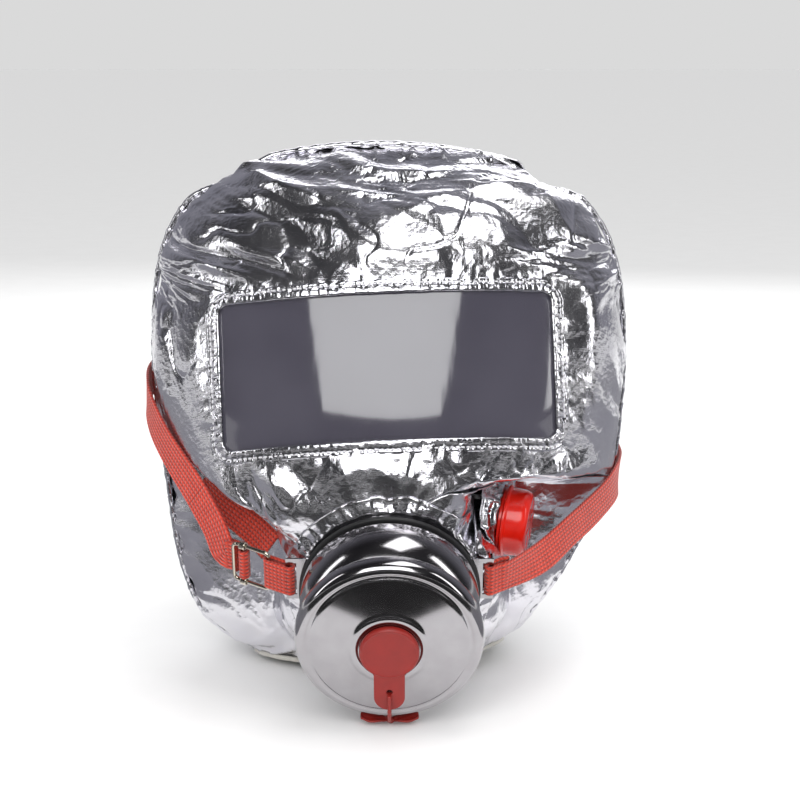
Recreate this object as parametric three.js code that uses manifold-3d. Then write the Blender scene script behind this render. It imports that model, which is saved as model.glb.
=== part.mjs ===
// Filter-type smoke hood: a foil-fabric bag with a clear visor, a canister that carries the filter,
// an exhalation valve, an inner nose cup and a webbing head strap with a sliding-bar buckle.
// Millimetres, +Z up, the visor faces -Y. The origin is the middle of the neck opening.
import * as THREE from "three";
import { mergeVertices } from "three/addons/utils/BufferGeometryUtils.js";
import Module from "manifold-3d";

const wasm = await Module();
wasm.setup();

// ---------------------------------------------------------------- driving dimensions
const GAP = 0.3; // air left between two pieces that touch
const FABRIC = 1.5; // foil laminate with its cotton backing, as it lies on the hood
const WEBBING = { width: 20, thick: 1.5 };

// The hood's outline, row by row from hem to crown: height, reach to each side, front and back.
const HOOD_ROWS = [
  { z: -14, left: 92, right: 77, front: -76, back: 72 },
  { z: -5, left: 104, right: 84, front: -98, back: 79 },
  { z: 10, left: 120, right: 93, front: -105, back: 90 },
  { z: 45, left: 133, right: 113, front: -118, back: 100 },
  { z: 95, left: 140, right: 137, front: -136, back: 107 },
  { z: 147, left: 146, right: 144, front: -128, back: 110 },
  { z: 185, left: 147, right: 145, front: -118, back: 110 },
  { z: 224, left: 144, right: 141, front: -105, back: 106 },
  { z: 252, left: 136, right: 132, front: -90, back: 98 },
  { z: 276, left: 120, right: 114, front: -68, back: 84 },
  { z: 294, left: 100, right: 92, front: -42, back: 64 },
  { z: 302, left: 88, right: 78, front: -24, back: 44 },
];
const HOOD_MIDDLE_Y = -16; // the side seams and the top seam lie in this plane
const HEM_Z = HOOD_ROWS[0].z;
const CROWN_Z = HOOD_ROWS.at(-1).z;
// The crown is lower towards its ends than in the middle.
const CROWN_SAG = { depth: 9, middle: -8, half: 84, from: 268 };
// Below the ridge the cheeks fall back and only a snout stands forward, round the canister. It
// narrows to the hem, where the cloth is tucked under the chin.
const SNOUT = { half: 69, hemHalf: 50, fullFrom: 24, power: 5 };
const CHEEK_DEPTH = 40;
const RIDGE_SOFTNESS = 16;
const RIDGE = { leftMiddle: 56, leftSide: 140, rightMiddle: 112, rightSide: 97 };

const WINDOW = { width: 197, height: 86, corner: 6, x: -1.5, y: -117, z: 183.5, lean: 17, roll: 2.4, hem: 7 };

const CANISTER = { radius: 52, wall: 1, y: -121, z: 51, tilt: 20, neck: 19.8, neckBore: 17 };
const VALVE = { x: 67.5, y: -72, z: 82, patch: 30, bore: 15.6 };
const NECK_OPENING = { radius: 61, y: -6, z: -5 };

// ---------------------------------------------------------------- solids
// A closed body from a three.js geometry, turned the right way out.
function solidOf(geometry, matrix = new THREE.Matrix4()) {
  const bare = geometry.clone().applyMatrix4(matrix);
  bare.deleteAttribute("normal");
  bare.deleteAttribute("uv");
  const merged = mergeVertices(bare, 1e-3);
  const make = (triVerts) =>
    new wasm.Manifold(
      new wasm.Mesh({
        numProp: 3,
        vertProperties: merged.attributes.position.array,
        triVerts,
      }),
    );
  const faces = new Uint32Array(merged.index.array);
  const made = make(faces);
  return made.volume() < 0 ? make(faces.reverse()) : made;
}

function geometryOf(solid) {
  const mesh = solid.getMesh();
  const geometry = new THREE.BufferGeometry();
  geometry.setAttribute("position", new THREE.BufferAttribute(mesh.vertProperties, 3));
  geometry.setIndex(new THREE.BufferAttribute(mesh.triVerts, 1));
  geometry.computeVertexNormals();
  return geometry;
}

// Joins rings of points, each ring to the next. A loop joins the last ring to the first.
function skin(rings, loop = false) {
  const count = rings[0].length;
  const points = rings.flat();
  const index = [];
  const joins = loop ? rings.length : rings.length - 1;
  for (let i = 0; i < joins; i++) {
    const here = i * count;
    const next = ((i + 1) % rings.length) * count;
    for (let j = 0; j < count; j++) {
      const k = (j + 1) % count;
      index.push(here + j, here + k, next + k, here + j, next + k, next + j);
    }
  }
  if (!loop) {
    for (const [start, forward] of [[0, false], [(rings.length - 1) * count, true]]) {
      const middle = points.length;
      const ring = points.slice(start, start + count);
      points.push(ring.reduce((sum, p) => sum.add(p), new THREE.Vector3()).divideScalar(count));
      for (let j = 0; j < count; j++) {
        const k = (j + 1) % count;
        if (forward) index.push(start + j, start + k, middle);
        else index.push(start + k, start + j, middle);
      }
    }
  }
  const geometry = new THREE.BufferGeometry().setFromPoints(points);
  geometry.setIndex(index);
  return solidOf(geometry);
}

// A body turned about +Z from a closed profile of [radius, height] points.
function turned(profile, segments = 32) {
  const points = [...profile, profile[0]].map(([r, s]) => new THREE.Vector2(r, s));
  const onAxis = profile[0][0] === 0;
  if (onAxis) points.pop();
  return solidOf(new THREE.LatheGeometry(points, segments).rotateX(Math.PI / 2));
}

// A flat ring about +Z, from one height to another.
function ring(inner, outer, low, high, segments = 32) {
  const profile = [[inner, low], [outer, low], [outer, high], [inner, high]];
  return turned(profile, segments);
}

function disc(radius, low, high, segments = 32) {
  return turned([[0, low], [radius, low], [radius, high], [0, high]], segments);
}

function box(width, depth, height, x = 0, y = 0, z = 0) {
  return solidOf(new THREE.BoxGeometry(width, depth, height).translate(x, y, z));
}

function extruded(shape, low, high, curveSegments = 10) {
  const options = { depth: high - low, bevelEnabled: false, curveSegments };
  return solidOf(new THREE.ExtrudeGeometry(shape, options).translate(0, 0, low));
}

function roundedRectangle(width, height, corner) {
  const [x, y] = [width / 2, height / 2];
  const shape = new THREE.Shape();
  shape.moveTo(-x + corner, -y);
  shape.lineTo(x - corner, -y);
  shape.absarc(x - corner, -y + corner, corner, -Math.PI / 2, 0, false);
  shape.lineTo(x, y - corner);
  shape.absarc(x - corner, y - corner, corner, 0, Math.PI / 2, false);
  shape.lineTo(-x + corner, y);
  shape.absarc(-x + corner, y - corner, corner, Math.PI / 2, Math.PI, false);
  shape.lineTo(-x, -y + corner);
  shape.absarc(-x + corner, -y + corner, corner, Math.PI, 1.5 * Math.PI, false);
  return shape;
}

// Corners of a flat section, across x wide, through y thick.
function section(centre, across, through, width, thick) {
  return [[-1, -1], [1, -1], [1, 1], [-1, 1]].map(([i, j]) =>
    centre.clone().addScaledVector(across, (i * width) / 2).addScaledVector(through, (j * thick) / 2),
  );
}

// A round section of a wire or cord.
function roundSection(centre, side, up, radius, sides = 8) {
  return Array.from({ length: sides }, (_, i) => {
    const angle = (2 * Math.PI * i) / sides;
    return centre
      .clone()
      .addScaledVector(side, radius * Math.cos(angle))
      .addScaledVector(up, radius * Math.sin(angle));
  });
}

// A webbing or wire along points: the section stays square to the path.
// facing(i) gives the direction that the flat side looks in.
function along(path, facing, sectionAt, loop = false) {
  const last = path.length - 1;
  const rings = path.map((centre, i) => {
    const before = path[loop ? (i + last) % path.length : Math.max(i - 1, 0)];
    const after = path[loop ? (i + 1) % path.length : Math.min(i + 1, last)];
    const direction = after.clone().sub(before).normalize();
    const across = new THREE.Vector3().crossVectors(facing(i), direction).normalize();
    const through = new THREE.Vector3().crossVectors(direction, across).normalize();
    return sectionAt(centre, across, through);
  });
  return skin(rings, loop);
}

// ---------------------------------------------------------------- hood surface
// A value of the hood's rows at a height, on a smooth curve through them.
function rowValue(key, z) {
  const rows = HOOD_ROWS;
  const height = THREE.MathUtils.clamp(z, HEM_Z, CROWN_Z);
  const i = Math.min(rows.findLastIndex((row) => row.z <= height), rows.length - 2);
  const slope = (j) => {
    const below = rows[Math.max(j - 1, 0)];
    const above = rows[Math.min(j + 1, rows.length - 1)];
    return (above[key] - below[key]) / (above.z - below.z);
  };
  const span = rows[i + 1].z - rows[i].z;
  const t = (height - rows[i].z) / span;
  return (
    (2 * t ** 3 - 3 * t ** 2 + 1) * rows[i][key] +
    (t ** 3 - 2 * t ** 2 + t) * span * slope(i) +
    (3 * t ** 2 - 2 * t ** 3) * rows[i + 1][key] +
    (t ** 3 - t ** 2) * span * slope(i + 1)
  );
}

function ovalRadius(angle, half, depth, power = 2) {
  const across = Math.abs(Math.sin(angle)) / half;
  const ahead = Math.abs(Math.cos(angle)) / depth;
  return (across ** power + ahead ** power) ** (-1 / power);
}

// The height where the face panel's lower edge overhangs the cheek. It rises to the wearer's right
// cheek (-X) in a slant and runs level over the valve on the other side.
function ridgeHeight(angle) {
  const turn = Math.atan2(Math.sin(angle), Math.cos(angle)) / (Math.PI / 2);
  const side = Math.min(Math.abs(turn), 1);
  const left = THREE.MathUtils.lerp(RIDGE.leftMiddle, RIDGE.leftSide, side);
  const right = THREE.MathUtils.lerp(RIDGE.rightMiddle, RIDGE.rightSide, side ** 4);
  return THREE.MathUtils.lerp(left, right, THREE.MathUtils.smoothstep(turn, -0.2, 0.2));
}

// How far the hood's outside is from its upright middle line, at an angle from -Y towards +X.
function hoodRadius(angle, z) {
  const half = rowValue(Math.sin(angle) < 0 ? "left" : "right", z);
  if (Math.cos(angle) <= 0) {
    return ovalRadius(angle, half, rowValue("back", z) - HOOD_MIDDLE_Y, 2.3);
  }
  const depth = HOOD_MIDDLE_Y - rowValue("front", z);
  const face = ovalRadius(angle, half, depth);
  const cheek = ovalRadius(angle, half, Math.min(CHEEK_DEPTH, depth));
  const tucked = THREE.MathUtils.smoothstep(z, HEM_Z, SNOUT.fullFrom);
  const snoutHalf = THREE.MathUtils.lerp(SNOUT.hemHalf, SNOUT.half, tucked);
  const snout = ovalRadius(angle, Math.min(snoutHalf, half), depth, SNOUT.power);
  const below = (cheek ** 10 + snout ** 10) ** 0.1;
  const under = ridgeHeight(angle) - z;
  const amount = THREE.MathUtils.smoothstep(under, -RIDGE_SOFTNESS, RIDGE_SOFTNESS);
  return THREE.MathUtils.lerp(face, below, amount);
}

function crownSag(x, z) {
  const { depth, middle, half, from } = CROWN_SAG;
  return depth * Math.abs((x - middle) / half) ** 2 * THREE.MathUtils.smoothstep(z, from, CROWN_Z);
}

// A point on the hood, or inside it by inset.
function hoodPoint(angle, z, inset = 0) {
  const radius = hoodRadius(angle, z) - inset;
  const x = radius * Math.sin(angle);
  const y = HOOD_MIDDLE_Y - radius * Math.cos(angle);
  return new THREE.Vector3(x, y, z - crownSag(x, z));
}

const HOOD_SEGMENTS = 36;
const HOOD_HEIGHTS = [-14, -5, 10, 34, 58, 76, 92, 106, 120, 136, 160, 190, 220, 248, 272, 290, 302];

function hoodRing(z, inset) {
  return Array.from({ length: HOOD_SEGMENTS }, (_, i) =>
    hoodPoint((2 * Math.PI * i) / HOOD_SEGMENTS, z, inset),
  );
}

// The hood as a full body, shrunk by inset all round and lower at the crown by the same amount.
function hoodBody(inset, heights = HOOD_HEIGHTS) {
  const rings = heights.map((z) => hoodRing(z, inset));
  for (const point of rings.at(-1)) point.z -= inset;
  return skin(rings);
}

// ---------------------------------------------------------------- materials
function material(name, color, roughness, metalness = 0, more = {}) {
  return new THREE.MeshStandardMaterial({ name, color, roughness, metalness, ...more });
}

const foilFabric = material("foil_fabric", 0xc9cbd0, 0.22, 0.9);
const cottonLining = material("cotton_lining", 0xd8d6cf, 0.95);
const clearFilm = material("clear_film", 0xdfe6ec, 0.05, 0, { transparent: true, opacity: 0.3 });
const elastic = material("elastic", 0x2a2a2c, 0.8);
const drawnSteel = material("drawn_steel", 0xb9bbbe, 0.2, 1);
const blackRubber = material("black_rubber", 0x161617, 0.6);
const redRubber = material("red_rubber", 0xb02020, 0.5);
const redPlastic = material("red_plastic", 0xd81f10, 0.25);
const webbing = material("red_webbing", 0xdf4a33, 0.85);
const nickelWire = material("nickel_wire", 0xc6c2b8, 0.2, 1);
const siliconeCup = material("silicone_cup", 0xb9bdc4, 0.4, 0, { transparent: true, opacity: 0.6 });
const siliconeFlap = material("silicone_flap", 0xe6e4de, 0.5);
const perforatedSteel = material("perforated_steel", 0x9d9fa2, 0.35, 1);
const filterPaper = material("filter_paper", 0xf1efe6, 0.95);
const felt = material("filter_felt", 0xcfcdc4, 0.98);
const charcoal = material("charcoal", 0x1c1c1d, 0.9);
const catalyst = material("catalyst", 0x3b2a22, 0.9);
const drier = material("drier", 0x8fa6c4, 0.8);
const nylonNut = material("nylon_nut", 0x232326, 0.45);

// ---------------------------------------------------------------- frames
const hood = new THREE.Group();

function frame(x, y, z) {
  const group = new THREE.Group();
  group.position.set(x, y, z);
  hood.add(group);
  return group;
}

// Canister frame: +Z out along its axis, +Y up its face, the origin in the plane where it meets the hood.
const canister = frame(0, CANISTER.y, CANISTER.z);
canister.rotation.x = THREE.MathUtils.degToRad(90 + CANISTER.tilt);

// Valve frame: +Z out of the cheek, to the wearer's left.
const valve = frame(VALVE.x, VALVE.y, VALVE.z);
const valveAxis = new THREE.Vector3(0.97, -0.2, -0.12).normalize();
valve.quaternion.setFromUnitVectors(new THREE.Vector3(0, 0, 1), valveAxis);

// Visor frame: +Z out through the visor, which leans back and is sewn in a little askew.
const visorFrame = frame(WINDOW.x, WINDOW.y, WINDOW.z);
visorFrame.rotation.x = THREE.MathUtils.degToRad(90 - WINDOW.lean);
visorFrame.rotateZ(THREE.MathUtils.degToRad(WINDOW.roll));
hood.updateMatrixWorld(true);

function add(group, name, solid, finish) {
  const mesh = new THREE.Mesh(geometryOf(solid), finish);
  mesh.name = name;
  group.add(mesh);
}

// The largest body of a cut, without the slivers that its seam may leave.
function mainBody(solid) {
  return solid.decompose().reduce((most, body) => (body.volume() > most.volume() ? body : most));
}

function placed(solid, group) {
  return solid.transform(group.matrixWorld.elements);
}

// ---------------------------------------------------------------- fabric panels
const outside = hoodBody(0);
const inside = hoodBody(FABRIC, [HEM_Z - 10, ...HOOD_HEIGHTS]);
const shell = outside.subtract(inside);

const REACH = 400; // larger than the hood, for cutting blocks
const inFront = box(REACH, REACH, REACH, 0, HOOD_MIDDLE_Y - GAP / 2 - REACH / 2, 150);
const behind = box(REACH, REACH, REACH, 0, HOOD_MIDDLE_Y + GAP / 2 + REACH / 2, 150);
// The seam between face and chin runs along the ridge.
function ridgeBlock(lift, end) {
  const ringAt = (radius, height) =>
    Array.from({ length: HOOD_SEGMENTS }, (_, i) => {
      const angle = (2 * Math.PI * i) / HOOD_SEGMENTS;
      const [x, y] = [radius * Math.sin(angle), HOOD_MIDDLE_Y - radius * Math.cos(angle)];
      return new THREE.Vector3(x, y, height(angle));
    });
  const ridge = (angle) => ridgeHeight(angle) + lift;
  return skin([ringAt(REACH, () => end), ringAt(REACH, ridge), ringAt(9, ridge)]);
}
const aboveRidge = ridgeBlock(GAP / 2, REACH);
const belowRidge = ridgeBlock(-GAP / 2, -REACH);

const COLLAR = { inner: 24, flat: 50, outer: 58, turnBack: 7 };
const canisterHole = placed(disc(COLLAR.outer + GAP, -COLLAR.turnBack - 5, 60), canister);
const valveHole = placed(disc(VALVE.patch + GAP, -20, 24, 24), valve);

const opening = roundedRectangle(WINDOW.width, WINDOW.height, WINDOW.corner);
const hemOutline = roundedRectangle(
  WINDOW.width + 2 * WINDOW.hem,
  WINDOW.height + 2 * WINDOW.hem,
  WINDOW.corner / 2,
);
const openingPrism = placed(extruded(opening, -70, 40, 4), visorFrame);
const hemPrism = placed(extruded(hemOutline, -70, 40, 4), visorFrame);

const frontShell = shell.intersect(inFront);
const facePanel = frontShell.intersect(aboveRidge).subtract(openingPrism).subtract(canisterHole);
const chinPanel = frontShell.intersect(belowRidge).subtract(canisterHole).subtract(valveHole);
add(hood, "face_panel", facePanel, foilFabric);
add(hood, "chin_panel", mainBody(chinPanel), foilFabric);
add(hood, "back_panel", shell.intersect(behind), foilFabric);

// The visor is a film behind the face panel, and its hem is a folded strip in front.
const WINDOW_HEIGHTS = [120, 136, 160, 190, 220, 248];
const visorOut = hoodBody(FABRIC + GAP, WINDOW_HEIGHTS);
const visorIn = hoodBody(FABRIC + GAP + 0.6, [110, ...WINDOW_HEIGHTS, 260]);
const visorSkin = visorOut.subtract(visorIn).intersect(inFront);
add(hood, "visor", visorSkin.intersect(hemPrism), clearFilm);

const hemOut = hoodBody(-GAP - 0.9, WINDOW_HEIGHTS);
const hemIn = hoodBody(-GAP, [110, ...WINDOW_HEIGHTS, 260]);
const hemSkin = hemOut.subtract(hemIn).intersect(inFront);
add(hood, "visor_hem", hemSkin.intersect(hemPrism).subtract(openingPrism), foilFabric);

// Piping over the seam between the front and back panels, from hem to hem across the crown.
const PIPING_RADIUS = 1.5;
const seamHeights = HOOD_HEIGHTS.filter((z) => z > HEM_Z + 1);
const rising = seamHeights.map((z) => [rowValue("right", z), z]);
const falling = seamHeights.toReversed().map((z) => [-rowValue("left", z), z]);
const outline = [...rising, [40, CROWN_Z], [0, CROWN_Z], [-40, CROWN_Z], ...falling].map(
  ([x, z]) => new THREE.Vector3(x, HOOD_MIDDLE_Y, z - crownSag(x, z)),
);
const seamPath = outline.map((point, i) => {
  const before = point.clone().sub(outline[Math.max(i - 1, 0)]).normalize();
  const after = outline[Math.min(i + 1, outline.length - 1)].clone().sub(point).normalize();
  const way = before.clone().add(after).normalize();
  const miter = Math.max(way.dot(before), way.dot(after));
  const out = new THREE.Vector3(way.z, 0, -way.x);
  return point.clone().addScaledVector(out, (PIPING_RADIUS + GAP) / miter);
});
const pipingSection = (centre, side, up) => roundSection(centre, side, up, PIPING_RADIUS, 6);
add(
  hood,
  "seam_piping",
  along(seamPath, () => new THREE.Vector3(0, 1, 0), pipingSection),
  foilFabric,
);

// The hem tape, the neck seal and its elastic close the bag round the neck.
function hemLoop(inset, z) {
  return hoodRing(HEM_Z, inset).map((p) => p.setZ(z));
}
const tapeLow = HEM_Z - GAP - 3;
const tape = skin(
  [hemLoop(-0.6, HEM_Z - GAP), hemLoop(-0.6, tapeLow), hemLoop(2.2, tapeLow), hemLoop(2.2, HEM_Z - GAP)],
  true,
);
add(hood, "hem_tape", tape, cottonLining);

function neckLoop(radius, z) {
  return hoodRing(HEM_Z, 0).map((p) => {
    const angle = Math.atan2(p.x, HOOD_MIDDLE_Y - p.y);
    const [x, y] = [radius * Math.sin(angle), NECK_OPENING.y - radius * Math.cos(angle)];
    return new THREE.Vector3(x, y, z);
  });
}
const sealEdge = FABRIC + GAP;
const seal = skin(
  [
    hemLoop(sealEdge, HEM_Z + 1),
    hemLoop(sealEdge, HEM_Z + 2.4),
    neckLoop(NECK_OPENING.radius, NECK_OPENING.z + 1.4),
    neckLoop(NECK_OPENING.radius, NECK_OPENING.z),
  ],
  true,
);
add(hood, "neck_seal", seal, cottonLining);
const ELASTIC_RADIUS = 1.8;
const elasticRadius = NECK_OPENING.radius - GAP - ELASTIC_RADIUS;
const elasticRing = solidOf(
  new THREE.TorusGeometry(elasticRadius, ELASTIC_RADIUS, 6, 24).translate(
    0,
    NECK_OPENING.y,
    NECK_OPENING.z + 0.7,
  ),
);
add(hood, "neck_elastic", elasticRing, elastic);

// ---------------------------------------------------------------- canister and its clamp
const EAR = { reach: 60.4, y: 9, half: 14, slot: 22, slotFrom: 54.2, slotTo: 57.8 };

function strapRing(low, high) {
  const ear = box(EAR.reach, 2 * EAR.half, high - low, EAR.reach / 2, EAR.y, (low + high) / 2);
  const width = EAR.slotTo - EAR.slotFrom;
  const slot = box(width, EAR.slot, 9, (EAR.slotFrom + EAR.slotTo) / 2, EAR.y, 0);
  const half = ear.subtract(slot);
  return disc(CANISTER.radius - 1, low, high)
    .add(half)
    .add(half.mirror([1, 0, 0]))
    .subtract(disc(CANISTER.neck + GAP, low - 1, high + 1));
}

const collarProfile = [
  [COLLAR.inner, -2.3],
  [COLLAR.inner, -0.8],
  [COLLAR.flat, -0.8],
  [COLLAR.outer, -COLLAR.turnBack],
  [COLLAR.outer - 1, -COLLAR.turnBack - 1.4],
  [COLLAR.flat - 1, -2.3],
];
add(canister, "canister_collar", turned(collarProfile), foilFabric);
add(canister, "strap_ring", strapRing(-0.4, 0.8), drawnSteel);
const gasketProfile = [[38, 1.2], [52.4, 1.2], [53, 1.9], [53, 3.1], [52.4, 3.8], [38, 3.8]];
add(canister, "canister_gasket", turned(gasketProfile), blackRubber);

const NECK_END = -16;
const shellProfile = [
  [CANISTER.neckBore, NECK_END],
  [CANISTER.neck, NECK_END],
  [CANISTER.neck, 4.2],
  [CANISTER.radius - 2, 4.2],
  [CANISTER.radius, 6.2],
  [CANISTER.radius, 46.6],
  [CANISTER.radius - CANISTER.wall, 46.6],
  [CANISTER.radius - CANISTER.wall, 6.8],
  [CANISTER.radius - 2.5, 5.3],
  [CANISTER.neckBore, 5.3],
];
add(canister, "canister_shell", turned(shellProfile, 32), drawnSteel);

const INLET_RADIUS = 14.6;
const lidProfile = [
  [CANISTER.radius + 0.3, 42],
  [CANISTER.radius + 1.5, 42],
  [CANISTER.radius + 2, 43.5],
  [CANISTER.radius + 1.4, 46.6],
  [CANISTER.radius + 0.6, 50],
  [50.4, 51.8],
  [46.6, 51.8],
  [45.3, 52.6],
  [23, 56.2],
  [21.4, 57.3],
  [19, 57.3],
  [17.8, 56.5],
  [INLET_RADIUS, 56.5],
  [INLET_RADIUS, 55.5],
  [23, 55.2],
  [45.3, 51.5],
  [49.4, 50.7],
  [51.5, 49.2],
  [CANISTER.radius + 0.3, 47],
];
add(canister, "canister_lid", turned(lidProfile, 32), drawnSteel);

// The filter bed, front to back: spring, grille, five layers, grille.
const BED_RADIUS = CANISTER.radius - CANISTER.wall - GAP;
const GRILLE = { holes: 8, hole: 7, ring: 30 };
function grille(low, high) {
  const holes = [];
  for (let i = 0; i < GRILLE.holes; i++) {
    const hole = disc(GRILLE.hole, low - 1, high + 1, 8).translate([GRILLE.ring, 0, 0]);
    holes.push(hole.rotate([0, 0, (360 * i) / GRILLE.holes]));
  }
  return holes.reduce((plate, hole) => plate.subtract(hole), disc(BED_RADIUS - 0.7, low, high, 24));
}
const LAYERS = [
  ["dust_felt", 11.2, 13.4, felt],
  ["carbon_bed", 13.7, 20.6, charcoal],
  ["catalyst_bed", 20.9, 28.8, catalyst],
  ["drier_bed", 29.1, 36, drier],
  ["smoke_filter", 36.3, 40.4, filterPaper],
];
for (const [name, low, high, finish] of LAYERS) {
  add(canister, name, disc(BED_RADIUS - 0.3, low, high, 24), finish);
}
add(canister, "rear_grille", grille(10, 10.9), perforatedSteel);
add(canister, "front_grille", grille(40.7, 41.6), perforatedSteel);
const springProfile = [[36, 41.9], [38, 41.9], [47, 47.6], [45, 47.6]];
add(canister, "retaining_spring", turned(springProfile, 24), nickelWire);

// Inlet plug: a head in the lid's boss, a hollow stem and a tab with an eye for the pull cord.
const TAB = { half: 8.8, length: 31, eye: 27, low: 58.2, high: 60.6 };
const plugProfile = [
  [0, 57.6],
  [11.4, 57.6],
  [11.4, 50],
  [INLET_RADIUS - 0.3, 50],
  [INLET_RADIUS - 0.3, 56.8],
  [16.6, 56.8],
  [17, 58],
  [17, 60.4],
  [15.6, 61.6],
  [0, 61.6],
];
const tabShape = new THREE.Shape();
tabShape.moveTo(TAB.half, -9);
tabShape.lineTo(-TAB.half, -9);
tabShape.lineTo(-TAB.half, -TAB.length);
tabShape.absarc(0, -TAB.length, TAB.half, Math.PI, 2 * Math.PI, false);
tabShape.holes.push(new THREE.Path().absarc(0, -TAB.eye, 1.9, 0, 2 * Math.PI, true));
const tab = extruded(tabShape, TAB.low, TAB.high, 8);
add(canister, "inlet_plug", turned(plugProfile).add(tab), redRubber);

// The pull cord lies down the tab and over the rim. In the canister frame, y and z.
const CORD_RADIUS = 1.1;
const CORD_ROUTE = [
  [-28.5, 62.2],
  [-32, 62.1],
  [-36, 62.1],
  [-39.6, 62],
  [-42.8, 60.8],
  [-45.6, 58.8],
  [-48.4, 56.6],
  [-51.2, 54.6],
  [-54, 52.4],
  [-55.8, 50.4],
];
const cordCurve = new THREE.CatmullRomCurve3(CORD_ROUTE.map(([y, z]) => new THREE.Vector3(0, y, z)));
const cordPath = cordCurve.getSpacedPoints(14);
const cordSection = (centre, side, up) => roundSection(centre, side, up, CORD_RADIUS);
add(
  canister,
  "pull_cord",
  along(cordPath, () => new THREE.Vector3(1, 0, 0), cordSection),
  redRubber,
);

// The bow tied in the cord's end spreads to both sides under the rim.
const BOW = { radius: 57.2, low: 45, high: 49, reach: 17 };
const bowPath = Array.from({ length: 9 }, (_, i) => {
  const angle = THREE.MathUtils.degToRad(-90 + BOW.reach * (i / 4 - 1));
  const middle = (BOW.low + BOW.high) / 2;
  return new THREE.Vector3(BOW.radius * Math.cos(angle), BOW.radius * Math.sin(angle), middle);
});
const bowSection = (centre, across, through) => section(centre, across, through, 4, 2);
add(
  canister,
  "pull_bow",
  along(bowPath, (i) => bowPath[i].clone().setZ(0).normalize(), bowSection),
  redRubber,
);

// ---------------------------------------------------------------- behind the canister
add(canister, "lock_nut", ring(CANISTER.neck + GAP, 31, -9.8, -5.8, 24), nylonNut);

const spokes = box(27, 2.6, 1.6, 0, 0, 3).add(box(2.6, 27, 1.6, 0, 0, 3));
const inhaleSeat = ring(13, CANISTER.neckBore - GAP, 2.2, 3.8, 24).add(spokes);
add(canister, "inhale_seat", inhaleSeat, nylonNut);
add(canister, "inhale_flap", disc(14.6, 1, 1.8, 24), siliconeFlap);

const outletPlugProfile = [
  [0, -17.4],
  [13.4, -17.4],
  [13.4, -9],
  [CANISTER.neckBore - GAP, -9],
  [CANISTER.neckBore - GAP, NECK_END - GAP],
  [19.4, NECK_END - GAP],
  [19.4, -19.6],
  [0, -19.6],
];
const pullEye = box(10, 3, 7, 0, 0, -22.8).subtract(box(4.5, 5, 3, 0, 0, -23.5));
add(canister, "outlet_plug", turned(outletPlugProfile, 24).add(pullEye), redRubber);

// The nose cup: a flange on the neck that opens into a cup over nose and mouth.
const CUP_WALL = 1.8;
const CUP_ROWS = [
  { s: -5.4, half: 33, top: 33, foot: -33, narrow: 0 },
  { s: -12, half: 43, top: 54, foot: -39, narrow: 0.12 },
  { s: -28, half: 50, top: 74, foot: -44, narrow: 0.22 },
  { s: -44, half: 53, top: 81, foot: -47, narrow: 0.26 },
];
function cupRing({ s, half, top, foot, narrow }, inset) {
  return Array.from({ length: 28 }, (_, i) => {
    const angle = (2 * Math.PI * i) / 28;
    const up = Math.cos(angle);
    const x = (half - inset) * Math.sin(angle) * (1 - narrow * up);
    const y = up > 0 ? (top - inset) * up : (-foot - inset) * up;
    return new THREE.Vector3(x, y, s - 14 * Math.max(0, up) * narrow * 3);
  });
}
const cupOut = skin(CUP_ROWS.map((row) => cupRing(row, 0)));
const cupInRows = CUP_ROWS.map((row, i) => ({ ...row, s: row.s - (i === 3 ? 4 : 0) }));
const cupIn = skin(cupInRows.map((row) => cupRing(row, CUP_WALL)));
const flange = ring(CANISTER.neck + GAP, 34, -5.5, -3.2, 28);
const cup = cupOut
  .subtract(cupIn)
  .subtract(disc(31.2, -12, -5.5, 28))
  .add(flange);
add(canister, "nose_cup", cup, siliconeCup);

// ---------------------------------------------------------------- exhalation valve
add(valve, "valve_patch", ring(VALVE.bore, VALVE.patch, -1.6, -0.2, 24), foilFabric);

const seatTube = ring(12, 15.2, -4, 6, 24);
const seatFlange = ring(12, 22, -4, -2, 24);
const seatSpokes = box(25, 2.6, 2, 0, 0, 4).add(box(2.6, 25, 2, 0, 0, 4));
const seatHub = disc(4, 3, 5, 16);
const hubBore = disc(1.8, 2, 6, 16);
const seat = seatTube.add(seatFlange).add(seatSpokes).add(seatHub).subtract(hubBore);
add(valve, "valve_seat", seat, redPlastic);
add(valve, "valve_lock_ring", ring(15.5, 20, 0.2, 2.2, 24), redPlastic);

const FLAP_TRAVEL = 1.2;
const flapProfile = [
  [0, 0.4],
  [2.4, 0.4],
  [2.4, 2.8 - FLAP_TRAVEL],
  [1.4, 2.8 - FLAP_TRAVEL],
  [1.4, 6.4],
  [14, 6.4],
  [14, 7.2],
  [0, 7.2],
];
add(valve, "valve_flap", turned(flapProfile, 24), siliconeFlap);

const capProfile = [
  [18.9, 2.6],
  [22.3, 2.6],
  [22.3, 4.2],
  [20.8, 4.8],
  [20.2, 14],
  [18.8, 16.6],
  [16.4, 17.6],
  [0, 17.6],
  [0, 16],
  [15.8, 16],
  [18.5, 13.4],
];
const capSlots = Array.from({ length: 6 }, (_, i) =>
  box(2.6, 8, 6, 0, 10.5, 17).rotate([0, 0, 60 * i]),
);
const cap = capSlots.reduce((body, slot) => body.subtract(slot), turned(capProfile, 28));
add(valve, "valve_cap", cap, redPlastic);

// ---------------------------------------------------------------- head strap and buckle
// Ear bars in the part's frame, where the webbing turns back.
function fromCanister(x, y, s) {
  return new THREE.Vector3(x, y, s).applyMatrix4(canister.matrixWorld);
}
const faceUp = new THREE.Vector3(0, 1, 0).transformDirection(canister.matrixWorld);
const EAR_BAR_X = (EAR.slotTo + EAR.reach) / 2;

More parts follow.
